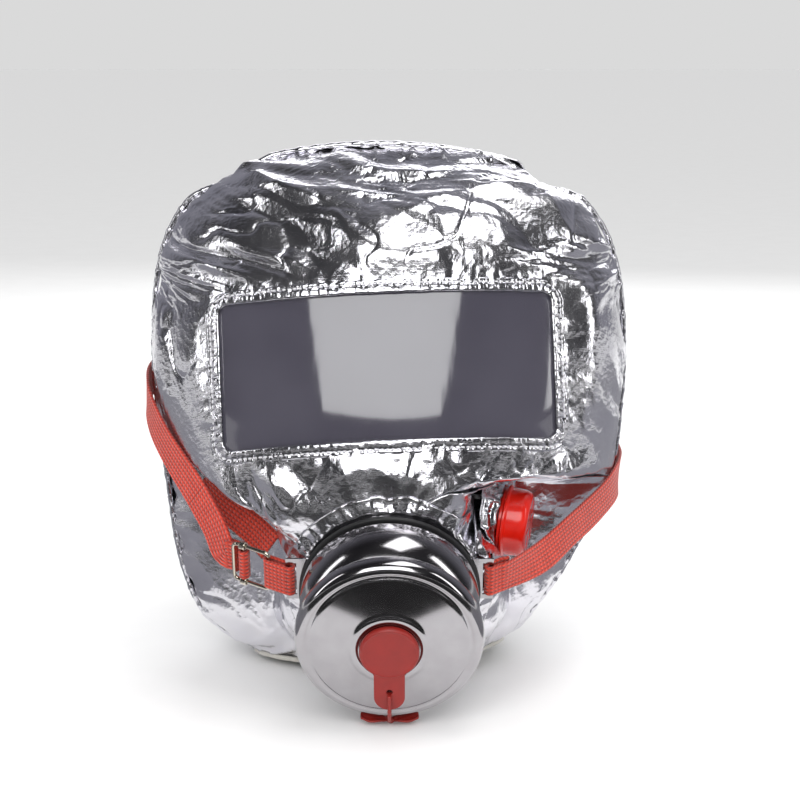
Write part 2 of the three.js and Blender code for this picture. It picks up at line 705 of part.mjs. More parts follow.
// A frame whose +X runs along the webbing, +Y across its width and +Z out of its face.
function strapFrame(origin, towards, across) {
  const alongIt = towards.clone().sub(origin).projectOnPlane(across).normalize();
  const outward = new THREE.Vector3().crossVectors(alongIt, across);
  const group = new THREE.Group();
  group.position.copy(origin);
  group.quaternion.setFromRotationMatrix(new THREE.Matrix4().makeBasis(alongIt, across, outward));
  hood.add(group);
  group.updateMatrixWorld(true);
  return group;
}

// A webbing loop round two bars, length apart, in the X-Z plane of a strap frame.
const LOOP_INNER = 1.9;
function webbingLoop(length) {
  const outline = (radius) => {
    const shape = new THREE.Shape();
    shape.absarc(0, 0, radius, Math.PI / 2, 1.5 * Math.PI, false);
    shape.absarc(length, 0, radius, -Math.PI / 2, Math.PI / 2, false);
    return shape;
  };
  const loop = outline(LOOP_INNER + WEBBING.thick);
  loop.holes.push(outline(LOOP_INNER));
  const half = WEBBING.width / 2;
  return extruded(loop, -half, half, 8).rotate([90, 0, 0]);
}

const LOOP_LENGTH = 13;
const leftBar = fromCanister(-EAR_BAR_X, EAR.y, 0.2);
const buckleAt = new THREE.Vector3(-71.5, -117, 60);
const buckleEnd = new THREE.Vector3(-92, -106, 64);
const faceDown = faceUp.clone().negate();
const leftLoop = strapFrame(leftBar, buckleAt, faceDown);
add(leftLoop, "left_anchor_loop", webbingLoop(LOOP_LENGTH), webbing);

const buckleStart = new THREE.Vector3(LOOP_LENGTH, 0, 0).applyMatrix4(leftLoop.matrixWorld);
const buckle = strapFrame(buckleStart, buckleEnd, faceDown);
const BUCKLE = { length: 25, width: 25, wire: 1.2, corner: 3 };
const BAR_AT = 18;

function wireLoopPath({ length, width, corner }) {
  const corners = [
    [length - corner, width / 2 - corner, 0],
    [corner, width / 2 - corner, 90],
    [corner, -width / 2 + corner, 180],
    [length - corner, -width / 2 + corner, 270],
  ];
  return corners.flatMap(([x, y, start]) =>
    [0, 30, 60, 90].map((turn) => {
      const angle = THREE.MathUtils.degToRad(start + turn);
      const [px, py] = [x + corner * Math.cos(angle), y + corner * Math.sin(angle)];
      return new THREE.Vector3(px, py, 0);
    }),
  );
}
const wireSection = (centre, side, up) => roundSection(centre, side, up, BUCKLE.wire);
const upright = () => new THREE.Vector3(0, 0, 1);
add(buckle, "buckle_frame", along(wireLoopPath(BUCKLE), upright, wireSection, true), nickelWire);

const rail = BUCKLE.width / 2;
const rod = new THREE.CylinderGeometry(1.1, 1.1, 2 * rail - 3.4, 10).translate(BAR_AT, 0, 0);
const eyes = [-rail, rail].map((y) =>
  ring(1.6, 2.6, -2, 2, 12).rotate([0, 90, 0]).translate([BAR_AT, y, 0]),
);
add(buckle, "buckle_bar", solidOf(rod).add(eyes[0]).add(eyes[1]), nickelWire);

// The strap's end: round the bar, then both legs pass behind the far wire.
const TURN_ROUTE = [
  [29.5, -2.8],
  [24.2, -2.8],
  [22.2, -1],
  [20.6, 1.2],
  [18.8, 2.4],
  [17, 2.4],
  [15.6, 1],
  [15.6, -1],
  [17, -2.4],
  [20.4, -3.6],
  [24.2, -5],
  [29.5, -5],
];
const turnPath = TURN_ROUTE.map(([x, z]) => new THREE.Vector3(x, 0, z));
function turnFacing(i) {
  const before = turnPath[Math.max(i - 1, 0)];
  const after = turnPath[Math.min(i + 1, turnPath.length - 1)];
  return new THREE.Vector3().crossVectors(after.clone().sub(before), new THREE.Vector3(0, 1, 0));
}
const turnSection = (centre, across, through) =>
  section(centre, across, through, WEBBING.width - 1, 1.2);
add(buckle, "strap_turn", along(turnPath, turnFacing, turnSection), webbing);

// The head strap: from the right ear past the valve, round the back of the hood, down to the buckle.
const STRAP_OFF_HOOD = 4.4;
function onHood(degrees, z, lift = 0) {
  const angle = THREE.MathUtils.degToRad(degrees);
  const here = hoodPoint(angle, z);
  const round = hoodPoint(angle + 0.05, z).sub(hoodPoint(angle - 0.05, z));
  const up = hoodPoint(angle, z + 8).sub(hoodPoint(angle, z - 8));
  const out = new THREE.Vector3().crossVectors(round, up).normalize();
  return { at: here.addScaledVector(out, STRAP_OFF_HOOD + lift), out };
}
function inFrame(group, x, z) {
  return {
    at: new THREE.Vector3(x, 0, z).applyMatrix4(group.matrixWorld),
    out: new THREE.Vector3(0, 0, 1).transformDirection(group.matrixWorld),
  };
}
const RIGHT_LOOP = 8;
const rightBar = fromCanister(EAR_BAR_X, EAR.y, 0.2);
const strapStart = new THREE.Vector3(76, -112, 60.5);
const rightLoop = strapFrame(rightBar, strapStart, faceUp);
const endLoop = placed(webbingLoop(RIGHT_LOOP), rightLoop);
const span = (x, y, z, outX, outY, outZ) => ({
  at: new THREE.Vector3(x, y, z),
  out: new THREE.Vector3(outX, outY, outZ),
});
const strapStations = [
  inFrame(rightLoop, RIGHT_LOOP + 0.5, LOOP_INNER + WEBBING.thick / 2 - 0.05),
  span(90, -101, 66, 0.66, -0.74, 0.05),
  span(109, -80, 77, 0.76, -0.64, 0.05),
  span(128, -54, 87, 0.84, -0.53, 0.05),
  span(141, -31, 96, 0.93, -0.35, 0.05),
  onHood(94, 103, 1.2),
  onHood(104, 109),
  onHood(116, 117),
  onHood(128, 125),
  onHood(140, 132),
  onHood(152, 138),
  onHood(166, 144),
  onHood(180, 149),
  onHood(194, 153),
  onHood(208, 157),
  onHood(220, 160),
  onHood(232, 162),
  onHood(244, 163),
  onHood(256, 161),
  onHood(268, 156, 1.2),
  span(-149, -38, 145, -0.96, -0.25, 0.1),
  span(-137, -62, 127, -0.86, -0.47, 0.14),
  span(-119, -85, 106, -0.74, -0.64, 0.16),
  span(-104, -99, 91, -0.66, -0.72, 0.16),
  span(-96, -104.5, 81.5, -0.62, -0.76, 0.16),
];
const strapLine = strapStations.map((station) => station.at);
const strapSection = (centre, across, through) =>
  section(centre, across, through, WEBBING.width, WEBBING.thick);
const strapBody = along(strapLine, (i) => strapStations[i].out, strapSection);
add(hood, "head_strap", strapBody.add(endLoop), webbing);

export default hood;
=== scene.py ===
# %% [markdown]
# # A filter smoke hood
# The real hood is a bag of aluminised cloth with a clear film visor, sewn round a steel filter
# canister. This lesson dresses a finished engineering model: every size and axis comes from there, and
# Blender adds the cloth, the polish and the stitching. We load the model first. Nothing we make may
# grow much past it.

# %% Load the frame
import math

import bmesh
import bpy
import numpy as np
from mathutils import Matrix, Vector, noise
from mathutils.bvhtree import BVHTree


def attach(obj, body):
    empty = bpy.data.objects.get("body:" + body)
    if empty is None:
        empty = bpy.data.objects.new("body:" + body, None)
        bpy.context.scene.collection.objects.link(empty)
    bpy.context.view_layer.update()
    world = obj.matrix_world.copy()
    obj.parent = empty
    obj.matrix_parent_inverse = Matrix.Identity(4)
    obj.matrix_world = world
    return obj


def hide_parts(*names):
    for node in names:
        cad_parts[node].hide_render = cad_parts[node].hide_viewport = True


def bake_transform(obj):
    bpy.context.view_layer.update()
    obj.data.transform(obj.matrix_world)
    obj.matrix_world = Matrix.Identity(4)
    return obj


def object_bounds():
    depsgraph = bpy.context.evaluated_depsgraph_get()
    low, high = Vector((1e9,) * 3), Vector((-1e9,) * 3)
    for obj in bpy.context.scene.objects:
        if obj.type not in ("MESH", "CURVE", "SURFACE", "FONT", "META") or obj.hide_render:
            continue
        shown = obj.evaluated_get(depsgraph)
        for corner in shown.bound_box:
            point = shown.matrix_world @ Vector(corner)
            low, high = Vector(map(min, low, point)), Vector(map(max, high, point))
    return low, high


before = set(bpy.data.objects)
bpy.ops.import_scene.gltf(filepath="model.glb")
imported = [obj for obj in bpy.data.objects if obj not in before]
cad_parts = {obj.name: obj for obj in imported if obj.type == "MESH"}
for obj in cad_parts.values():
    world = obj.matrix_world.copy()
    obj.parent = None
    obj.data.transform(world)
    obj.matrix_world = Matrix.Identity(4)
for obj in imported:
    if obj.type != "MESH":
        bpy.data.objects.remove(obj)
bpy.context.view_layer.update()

MM = 0.001


# %% [markdown]
# ## Camera
# A product photographer stands a little above the visor and uses a long lens, so the hood keeps its
# true outline. We place the camera on a circle round the middle of the hood and aim it there.

# %% Camera
VIEW_TARGET = Vector((6, -40, 150)) * MM
VIEW_DISTANCE = 1.2
VIEW_RISE = math.radians(10)

camera_data = bpy.data.cameras.new("camera")
camera_data.lens = 87.5
camera_data.sensor_width = 36
camera = bpy.data.objects.new("camera", camera_data)
bpy.context.scene.collection.objects.link(camera)
view_offset = Vector((0, -math.cos(VIEW_RISE), math.sin(VIEW_RISE))) * VIEW_DISTANCE
camera.location = VIEW_TARGET + view_offset
camera.rotation_euler = (-view_offset).to_track_quat("-Z", "Y").to_euler()
bpy.context.scene.camera = camera


# %% [markdown]
# ## Small tools
# Most pieces here are surfaces given by a formula, so one helper turns rows of points into a
# mesh. Each vertex can carry its place on the cloth in millimetres, which the weave patterns read.
# That is safer than a UV map, which other tools may repack. The rest put a point by the axes of the
# window, the canister, the valve or the buckle, and give the smooth random numbers of the folds.

# %% Mesh tools
def as_object(name, points, faces, cloth=None, smooth=True):
    mesh = bpy.data.meshes.new(name)
    mesh.from_pydata([tuple(p) for p in points], [], [tuple(f) for f in faces])
    mesh.update()
    mesh.validate()
    if smooth:
        mesh.shade_smooth()
    if cloth is not None:
        layer = mesh.attributes.new("cloth", "FLOAT_VECTOR", "POINT")
        layer.data.foreach_set("vector", np.asarray(cloth, dtype=np.float32).ravel())
    piece = bpy.data.objects.new(name, mesh)
    bpy.context.scene.collection.objects.link(piece)
    return piece


def grid_faces(rows, columns, wrap_rows=False, wrap_columns=False, keep=None):
    """Quads of a grid of points that is stored row by row."""
    faces = []
    for i in range(rows if wrap_rows else rows - 1):
        for j in range(columns if wrap_columns else columns - 1):
            if keep is not None and not keep[i, j]:
                continue
            i2, j2 = (i + 1) % rows, (j + 1) % columns
            faces.append((i * columns + j, i * columns + j2, i2 * columns + j2, i2 * columns + j))
    return faces


def apply_modifiers(piece):
    graph = bpy.context.evaluated_depsgraph_get()
    baked = bpy.data.meshes.new_from_object(piece.evaluated_get(graph))
    piece.modifiers.clear()
    piece.data = baked
    return piece


def thicken(piece, thickness, offset=-1.0, inner_slot=0):
    """Gives a sheet its thickness, inwards from its face, with its back in another finish."""
    shell = piece.modifiers.new("thickness", "SOLIDIFY")
    shell.thickness = thickness
    shell.offset = offset
    shell.material_offset = inner_slot
    return apply_modifiers(piece)


def finish_piece(piece, body, materials, replaces=()):
    if not isinstance(materials, (list, tuple)):
        materials = [materials]
    piece.data.materials.clear()
    for material in materials:
        piece.data.materials.append(material)
    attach(piece, body)
    if replaces:
        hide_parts(*replaces)
    print(piece.name, "has", len(piece.data.polygons), "faces")
    return piece


# %% Places and wobble
def place_at(x, y, z, turn):
    return Matrix.Translation(Vector((x, y, z)) * MM) @ turn.to_4x4()


def put(place, x, y, z):
    """The point of a place that is x, y and z millimetres along its axes."""
    return place @ (Vector((x, y, z)) * MM)


def axis_of(place, x, y, z):
    return place.to_3x3() @ Vector((x, y, z))


def wobble(a, b, c):
    """A smooth random number between -1 and 1, the same each time for one place."""
    return noise.noise(Vector((a, b, c)))


def round_wobble(angle, size, level):
    """The same, closed round a ring."""
    return wobble(math.cos(angle) * size, math.sin(angle) * size, level)


# %% Turned pieces
def turned(name, profile, place, segments=128, closed=True, bend=None):
    """A body of revolution: profile points are (radius, height) in mm about the place's Z axis."""
    angles = np.linspace(0, 2 * math.pi, segments, endpoint=False)
    points = []
    for radius, height in profile:
        for angle in angles:
            r, h = bend(angle, radius, height) if bend else (radius, height)
            points.append(put(place, r * math.cos(angle), r * math.sin(angle), h))
    faces = grid_faces(len(profile), segments, wrap_rows=closed, wrap_columns=True)
    return as_object(name, points, faces)


def rounded_profile(corners, steps=5):
    """Rounds a profile. Each corner is (radius, height) or (radius, height, rounding in mm)."""
    outline = []
    count = len(corners)
    for i, corner in enumerate(corners):
        here = np.array(corner[:2], dtype=float)
        rounding = corner[2] if len(corner) > 2 else 0
        if not rounding:
            outline.append(tuple(here))
            continue
        before = np.array(corners[i - 1][:2], dtype=float) - here
        after = np.array(corners[(i + 1) % count][:2], dtype=float) - here
        start = here + before / np.linalg.norm(before) * min(rounding, np.linalg.norm(before) * 0.49)
        end = here + after / np.linalg.norm(after) * min(rounding, np.linalg.norm(after) * 0.49)
        for t in np.linspace(0, 1, steps):
            point = (1 - t) ** 2 * start + 2 * t * (1 - t) * here + t ** 2 * end
            outline.append(tuple(point))
    return outline


# %% [markdown]
# ## Colour and node tools
# Colours are picked as sRGB hex, as on a screen, but the renderer works in linear light, so one
# function converts them. A second small function adds a node with its settings and links.

# %% Node tools
def linear(hex_colour):
    channels = [int(hex_colour[i:i + 2], 16) / 255 for i in (1, 3, 5)]
    rgb = [c / 12.92 if c <= 0.04045 else ((c + 0.055) / 1.055) ** 2.4 for c in channels]
    return (*rgb, 1.0)


def add_node(tree, kind, settings=None, inputs=None):
    node = tree.nodes.new(kind)
    for name, value in (settings or {}).items():
        setattr(node, name, value)
    for socket, value in (inputs or {}).items():
        if isinstance(value, bpy.types.NodeSocket):
            tree.links.new(value, node.inputs[socket])
        else:
            node.inputs[socket].default_value = value
    return node


def new_material(name, **shader_values):
    """A material with one Principled shader. Returns it with its node tree and shader."""
    material = bpy.data.materials.new(name)
    material.use_nodes = True
    tree = material.node_tree
    tree.nodes.clear()
    shader = add_node(tree, "ShaderNodeBsdfPrincipled")
    for key, value in shader_values.items():
        shader.inputs[key.replace("_", " ")].default_value = value
    add_node(tree, "ShaderNodeOutputMaterial", inputs={"Surface": shader.outputs["BSDF"]})
    return material, tree, shader


def millimetres(tree, squeeze=(1, 1, 1)):
    """Coordinates in millimetres of the object, with each axis squeezed if asked."""
    place = add_node(tree, "ShaderNodeTexCoord")
    scale = [factor / MM for factor in squeeze]
    mapping = add_node(tree, "ShaderNodeMapping",
                       inputs={"Vector": place.outputs["Object"], "Scale": scale})
    return mapping.outputs["Vector"]


# %% [markdown]
# ## Aluminised cloth
# The bag is a cotton cloth with aluminium foil laminated on it. The foil is a bright mirror, but
# it is creased, and the weave prints through as a fine grain, so reflections break into hard
# patches with brushed edges. Large folds are modelled; here come only the fine ones: a crumple of
# 3 mm facets and the weave. The real threads are 0.4 mm apart, drawn at 0.9 mm so that they show.

# %% Foil
FOIL_FACET = 3.2
THREAD_SPACING = 0.9

foil, tree, shader = new_material("aluminised cloth", Metallic=1.0)
place = millimetres(tree)
drift = add_node(tree, "ShaderNodeTexNoise", inputs={"Vector": place, "Scale": 1 / 9, "Detail": 3.0})
pushed = add_node(tree, "ShaderNodeVectorMath", {"operation": "MULTIPLY_ADD"},
                  {0: drift.outputs["Color"], 1: (5, 5, 5), 2: place})
crumple = add_node(tree, "ShaderNodeTexVoronoi", {"feature": "F1"},
                   {"Vector": pushed.outputs["Vector"], "Scale": 1 / FOIL_FACET})
weave_x = add_node(tree, "ShaderNodeTexWave", {"bands_direction": "X"},
                   {"Vector": place, "Scale": 1 / THREAD_SPACING / 3.2, "Distortion": 0.6})
weave_z = add_node(tree, "ShaderNodeTexWave", {"bands_direction": "Z"},
                   {"Vector": place, "Scale": 1 / THREAD_SPACING / 3.2, "Distortion": 0.6})
weave = add_node(tree, "ShaderNodeMath", {"operation": "ADD"},
                 {0: weave_x.outputs["Fac"], 1: weave_z.outputs["Fac"]})
crumple_bump = add_node(tree, "ShaderNodeBump", inputs={
    "Height": crumple.outputs["Distance"], "Strength": 0.45, "Distance": 0.35 * MM})
weave_bump = add_node(tree, "ShaderNodeBump", inputs={
    "Height": weave.outputs["Value"], "Strength": 0.35, "Distance": 0.03 * MM,
    "Normal": crumple_bump.outputs["Normal"]})
haze = add_node(tree, "ShaderNodeTexNoise", inputs={"Vector": place, "Scale": 1 / 22, "Detail": 5.0})
roughness = add_node(tree, "ShaderNodeMapRange",
                     inputs={"Value": haze.outputs["Fac"], "To Min": 0.13, "To Max": 0.27})
tint = add_node(tree, "ShaderNodeMix", {"data_type": "RGBA"}, {
    "Factor": haze.outputs["Fac"], "A": linear("#dcdbe4"), "B": linear("#f1f0f2")})
tree.links.new(tint.outputs["Result"], shader.inputs["Base Color"])
tree.links.new(roughness.outputs["Result"], shader.inputs["Roughness"])
tree.links.new(weave_bump.outputs["Normal"], shader.inputs["Normal"])


# %% [markdown]
# ## Cotton lining, tape and thread
# The cloth's back is unbleached cotton, and the hem tape and neck seal are cut from it. A plain
# weave is two sets of threads crossing, so two wave patterns are added. Sheen gives the soft edge
# that loose fibres make.

# %% Cotton
def cotton(name, dark, light, thread):
    material, tree, shader = new_material(name, Roughness=0.9, Sheen_Weight=0.3)
    place = millimetres(tree)
    across = add_node(tree, "ShaderNodeTexWave", {"bands_direction": "X"},
                      {"Vector": place, "Scale": 1 / thread / 3.2, "Distortion": 1.0})
    along = add_node(tree, "ShaderNodeTexWave", {"bands_direction": "Z"},
                     {"Vector": place, "Scale": 1 / thread / 3.2, "Distortion": 1.0})
    weave = add_node(tree, "ShaderNodeMath", {"operation": "ADD"},
                     {0: across.outputs["Fac"], 1: along.outputs["Fac"]})
    fade = add_node(tree, "ShaderNodeTexNoise", inputs={"Vector": place, "Scale": 1 / 15})
    colour = add_node(tree, "ShaderNodeMix", {"data_type": "RGBA"}, {
        "Factor": fade.outputs["Fac"], "A": linear(dark), "B": linear(light)})
    bump = add_node(tree, "ShaderNodeBump", inputs={
        "Height": weave.outputs["Value"], "Strength": 0.6, "Distance": 0.15 * MM})
    tree.links.new(colour.outputs["Result"], shader.inputs["Base Color"])
    tree.links.new(bump.outputs["Normal"], shader.inputs["Normal"])
    return material


lining = cotton("unbleached cotton", "#a9a69f", "#c6c3bb", thread=0.8)
thread_finish = cotton("polyester sewing thread", "#c9c7cc", "#efeef2", thread=0.5)
elastic_finish = cotton("braided elastic", "#1d1d20", "#38383c", thread=1.2)


# %% [markdown]
# ## Visor film
# The visor is clear polyester film. Its base colour is painted shade: a dark grey that drifts a little
# and stands for the shaded inside of the hood behind it. It is a smooth dielectric, so it keeps
# polyester's IOR of 1.6, and only part of what is behind it shows.

# %% Film
film, tree, shader = new_material(
    "polyester film", Roughness=0.09, IOR=1.6, Alpha=0.86,
    Coat_Weight=1.0, Coat_Roughness=0.06, Coat_IOR=1.6)
place = millimetres(tree)
# Painted shade: the film's dark base colour stands for the shaded inside of the hood seen through it.
inside_shade_drift = add_node(tree, "ShaderNodeTexNoise", inputs={"Vector": place, "Scale": 1 / 60, "Detail": 2.0})
tone = add_node(tree, "ShaderNodeMix", {"data_type": "RGBA"}, {
    "Factor": inside_shade_drift.outputs["Fac"], "A": linear("#3a3842"), "B": linear("#56545e")})
ripple = add_node(tree, "ShaderNodeTexNoise",
                  inputs={"Vector": millimetres(tree, (1 / 16, 1 / 30, 1 / 80)), "Scale": 1.0})
film_bump = add_node(tree, "ShaderNodeBump", inputs={
    "Height": ripple.outputs["Fac"], "Strength": 0.5, "Distance": 0.7 * MM})
tree.links.new(tone.outputs["Result"], shader.inputs["Base Color"])
tree.links.new(film_bump.outputs["Normal"], shader.inputs["Normal"])


# %% [markdown]
# ## Metals
# The canister is drawn and polished stainless sheet: nearly a mirror, with hair-fine rings left
# by the buffing wheel. The buckle is nickel-plated wire, warmer and a little softer. The grilles
# inside are plain perforated sheet. A metal keeps the default IOR, because its colour already
# says how it reflects.

# %% Metals
def metal(name, dark, light, smoothest, roughest, grain, depth):
    material, tree, shader = new_material(name, Metallic=1.0)
    place = millimetres(tree)
    wear = add_node(tree, "ShaderNodeTexNoise",
                    inputs={"Vector": place, "Scale": 1 / 12, "Detail": 6.0})
    fine = add_node(tree, "ShaderNodeTexNoise",
                    inputs={"Vector": place, "Scale": 1 / grain, "Detail": 2.0})
    roughness = add_node(tree, "ShaderNodeMapRange", inputs={
        "Value": wear.outputs["Fac"], "To Min": smoothest, "To Max": roughest})
    colour = add_node(tree, "ShaderNodeMix", {"data_type": "RGBA"}, {
        "Factor": wear.outputs["Fac"], "A": linear(dark), "B": linear(light)})
    bump = add_node(tree, "ShaderNodeBump", inputs={
        "Height": fine.outputs["Fac"], "Strength": 0.2, "Distance": depth * MM})
    tree.links.new(colour.outputs["Result"], shader.inputs["Base Color"])
    tree.links.new(roughness.outputs["Result"], shader.inputs["Roughness"])
    tree.links.new(bump.outputs["Normal"], shader.inputs["Normal"])
    return material


steel = metal("polished stainless steel", "#a8a5a8", "#bdbbbe", 0.09, 0.17, grain=0.6, depth=0.004)
nickel = metal("nickel-plated wire", "#c9c0ae", "#e3dccd", 0.12, 0.25, grain=0.5, depth=0.02)
sheet_steel = metal("perforated sheet steel", "#8a8b8d", "#a7a8aa", 0.3, 0.45, grain=1.0, depth=0.03)


# %% [markdown]
# ## Rubbers and plastics
# The plugs are red moulded rubber with a satin skin; the gasket is black rubber. The valve cap is
# glossy injection-moulded plastic. The nose cup and flaps are silicone, which lets some light into
# itself. They share a recipe: a colour that drifts a little, a fine moulding grain and the
# material's own gloss.

# %% Moulded materials
def moulded(name, dark, light, smoothest, roughest, grain, depth, **shader_values):
    material, tree, shader = new_material(name, **shader_values)
    place = millimetres(tree)
    drift = add_node(tree, "ShaderNodeTexNoise",
                     inputs={"Vector": place, "Scale": 1 / 8, "Detail": 4.0})
    skin = add_node(tree, "ShaderNodeTexNoise",
                    inputs={"Vector": place, "Scale": 1 / grain, "Detail": 3.0})
    colour = add_node(tree, "ShaderNodeMix", {"data_type": "RGBA"}, {
        "Factor": drift.outputs["Fac"], "A": linear(dark), "B": linear(light)})
    roughness = add_node(tree, "ShaderNodeMapRange", inputs={
        "Value": drift.outputs["Fac"], "To Min": smoothest, "To Max": roughest})
    bump = add_node(tree, "ShaderNodeBump", inputs={
        "Height": skin.outputs["Fac"], "Strength": 0.3, "Distance": depth * MM})
    tree.links.new(colour.outputs["Result"], shader.inputs["Base Color"])
    tree.links.new(roughness.outputs["Result"], shader.inputs["Roughness"])
    tree.links.new(bump.outputs["Normal"], shader.inputs["Normal"])
    return material


red_rubber = moulded("moulded red rubber", "#77150f", "#951d15", 0.38, 0.5, 0.7, 0.06, IOR=1.52)
black_rubber = moulded("moulded black rubber", "#131314", "#222224", 0.4, 0.55, 0.8, 0.08, IOR=1.52)
red_plastic = moulded("glossy red polypropylene", "#c41409", "#df2414", 0.16, 0.26, 1.5, 0.02,
                      IOR=1.49, Coat_Weight=0.3, Coat_Roughness=0.08)
nylon = moulded("black nylon", "#1d1d20", "#2c2c30", 0.35, 0.5, 0.8, 0.05, IOR=1.53)
silicone = moulded("translucent silicone", "#9aa0aa", "#b9bec6", 0.3, 0.4, 1.2, 0.04,
                   IOR=1.41, Subsurface_Weight=0.3, Subsurface_Scale=0.004)
flap_silicone = moulded("white silicone", "#d5d2ca", "#e9e6df", 0.35, 0.45, 1.0, 0.03, IOR=1.41)


# %% [markdown]
# ## Filter media
# The canister's beds are granules held between felts. A Voronoi pattern at the grain size makes packed
# granules, and each granule's colour darkens towards its edge as painted shade in the gaps between
# them; the felt and the pleated paper need only a fibrous noise.

# %% Filter media
def granules(name, dark, light, grain):
    material, tree, shader = new_material(name, Roughness=0.85)
    place = millimetres(tree)
    cells = add_node(tree, "ShaderNodeTexVoronoi", {"feature": "F1"},
                     {"Vector": place, "Scale": 1 / grain})
    # Painted shade: each granule is light in the middle and dark at its edge, where the gaps between
    # granules lie in shade.
    colour = add_node(tree, "ShaderNodeMix", {"data_type": "RGBA"}, {
        "Factor": cells.outputs["Distance"], "A": linear(light), "B": linear(dark)})
    bump = add_node(tree, "ShaderNodeBump", {"invert": True}, {
        "Height": cells.outputs["Distance"], "Strength": 0.8, "Distance": 0.4 * grain * MM})
    tree.links.new(colour.outputs["Result"], shader.inputs["Base Color"])
    tree.links.new(bump.outputs["Normal"], shader.inputs["Normal"])
    return material


charcoal = granules("activated carbon", "#0c0c0d", "#2a2a2c", grain=1.5)
catalyst = granules("hopcalite catalyst", "#1f1613", "#4a362c", grain=1.5)
drier = granules("silica gel drier", "#5d738f", "#a4b6cc", grain=2.5)
felt = cotton("needled felt", "#b5b2a8", "#d0cdc3", thread=1.6)
filter_paper = cotton("glass-fibre paper", "#dedbd0", "#f1efe7", thread=2.4)


# %% [markdown]
# ## The shape of the bag
# The bag follows a table of rows: at each height, how far it reaches to the left, right, front and
# back. A smooth curve runs through the rows, and each section between is an oval. Below a ridge the
# cheeks fall away and only a snout stands forward, to carry the canister. This is the model's own
# formula, so the cloth lands where the model's panels are, but it can be as fine as we want.

# %% Hood surface
HOOD_ROWS = np.array([
    # height, left, right, front, back
    (-14, 92, 77, -76, 72),
    (-5, 104, 84, -98, 79),
    (10, 120, 93, -105, 90),
    (45, 133, 113, -118, 100),
    (95, 140, 137, -136, 107),
    (147, 146, 144, -128, 110),
    (185, 147, 145, -118, 110),
    (224, 144, 141, -105, 106),
    (252, 136, 132, -90, 98),
    (276, 120, 114, -68, 84),
    (294, 100, 92, -42, 64),
    (302, 88, 78, -24, 44),
], dtype=float)
LEFT, RIGHT, FRONT, BACK = 1, 2, 3, 4
HEM_Z, CROWN_Z = HOOD_ROWS[0, 0], HOOD_ROWS[-1, 0]
MIDDLE_Y = -16
CLOTH = 1.5
GAP = 0.3
RIDGE_LEFT, RIDGE_RIGHT = (56, 140), (112, 97)  # its height in front and at the side seam
RIDGE_SOFTNESS = 6
SNOUT_HALF, SNOUT_HEM_HALF, SNOUT_FULL_FROM, SNOUT_POWER = 69, 50, 24, 5
SNOUT_RECESS, RECESS_FROM, RECESS_TO = 18, 66, 90  # the cloth falls in above the valve
CHEEK_DEPTH = 40
HEM_ROLL, HEM_ROLL_HEIGHT = 5, 10  # the lower edge curls inwards
HEM_LIFT = 8
SAG_DEPTH, SAG_MIDDLE, SAG_HALF, SAG_FROM = 9, -8, 84, 268


def smooth_step(value, low, high):
    t = np.clip((value - low) / (high - low), 0, 1)
    return t * t * (3 - 2 * t)


def row_value(column, z):
    heights, values = HOOD_ROWS[:, 0], HOOD_ROWS[:, column]
    z = np.clip(z, HEM_Z, CROWN_Z)
    i = np.clip(np.searchsorted(heights, z, side="right") - 1, 0, len(heights) - 2)
    below = np.maximum(np.arange(len(heights)) - 1, 0)
    above = np.minimum(np.arange(len(heights)) + 1, len(heights) - 1)
    slopes = (values[above] - values[below]) / (heights[above] - heights[below])
    span = heights[i + 1] - heights[i]
    t = (z - heights[i]) / span
    return ((2 * t ** 3 - 3 * t ** 2 + 1) * values[i] + (t ** 3 - 2 * t ** 2 + t) * span * slopes[i]
            + (3 * t ** 2 - 2 * t ** 3) * values[i + 1] + (t ** 3 - t ** 2) * span * slopes[i + 1])


def oval_radius(angle, half, depth, power=2.0):
    across = np.abs(np.sin(angle)) / half
    ahead = np.abs(np.cos(angle)) / depth
    return (across ** power + ahead ** power) ** (-1 / power)


def ridge_height(angle):
    turn = angle / (math.pi / 2)
    side = np.minimum(np.abs(turn), 1)
    left = RIDGE_LEFT[0] + (RIDGE_LEFT[1] - RIDGE_LEFT[0]) * side
    right = RIDGE_RIGHT[0] + (RIDGE_RIGHT[1] - RIDGE_RIGHT[0]) * side ** 4
    return left + (right - left) * smooth_step(turn, -0.2, 0.2)


def hood_radius(angle, z):
    """Distance of the outside from the upright line x = 0, y = MIDDLE_Y. Angle 0 looks forward."""
    half = np.where(np.sin(angle) < 0, row_value(LEFT, z), row_value(RIGHT, z))
    back = oval_radius(angle, half, row_value(BACK, z) - MIDDLE_Y, 2.3)
    depth = MIDDLE_Y - row_value(FRONT, z)
    face = oval_radius(angle, half, depth)
    cheek = oval_radius(angle, half, np.minimum(CHEEK_DEPTH, depth))
    narrowed = np.where(np.sin(angle) > 0, smooth_step(z, RECESS_FROM, RECESS_TO) * SNOUT_RECESS, 0)
    tucked = smooth_step(z, HEM_Z, SNOUT_FULL_FROM)
    snout_half = SNOUT_HEM_HALF + (SNOUT_HALF - SNOUT_HEM_HALF) * tucked - narrowed
    snout = oval_radius(angle, np.minimum(snout_half, half), depth, SNOUT_POWER)
    below = (cheek ** 10 + snout ** 10) ** 0.1
    under = smooth_step(ridge_height(angle) - z, -RIDGE_SOFTNESS, RIDGE_SOFTNESS)
    return np.where(np.cos(angle) <= 0, back, face + (below - face) * under)


def crown_sag(x, z):
    """The crown is lower towards its ends than in the middle."""
    return SAG_DEPTH * (np.abs(x - SAG_MIDDLE) / SAG_HALF) ** 2 * smooth_step(z, SAG_FROM, CROWN_Z)


def hem_lift(x, z):
    """The hem rises a little under the wearer's left ear."""
    return HEM_LIFT * smooth_step(x, 10, 85) * (1 - smooth_step(z, HEM_Z, 40))


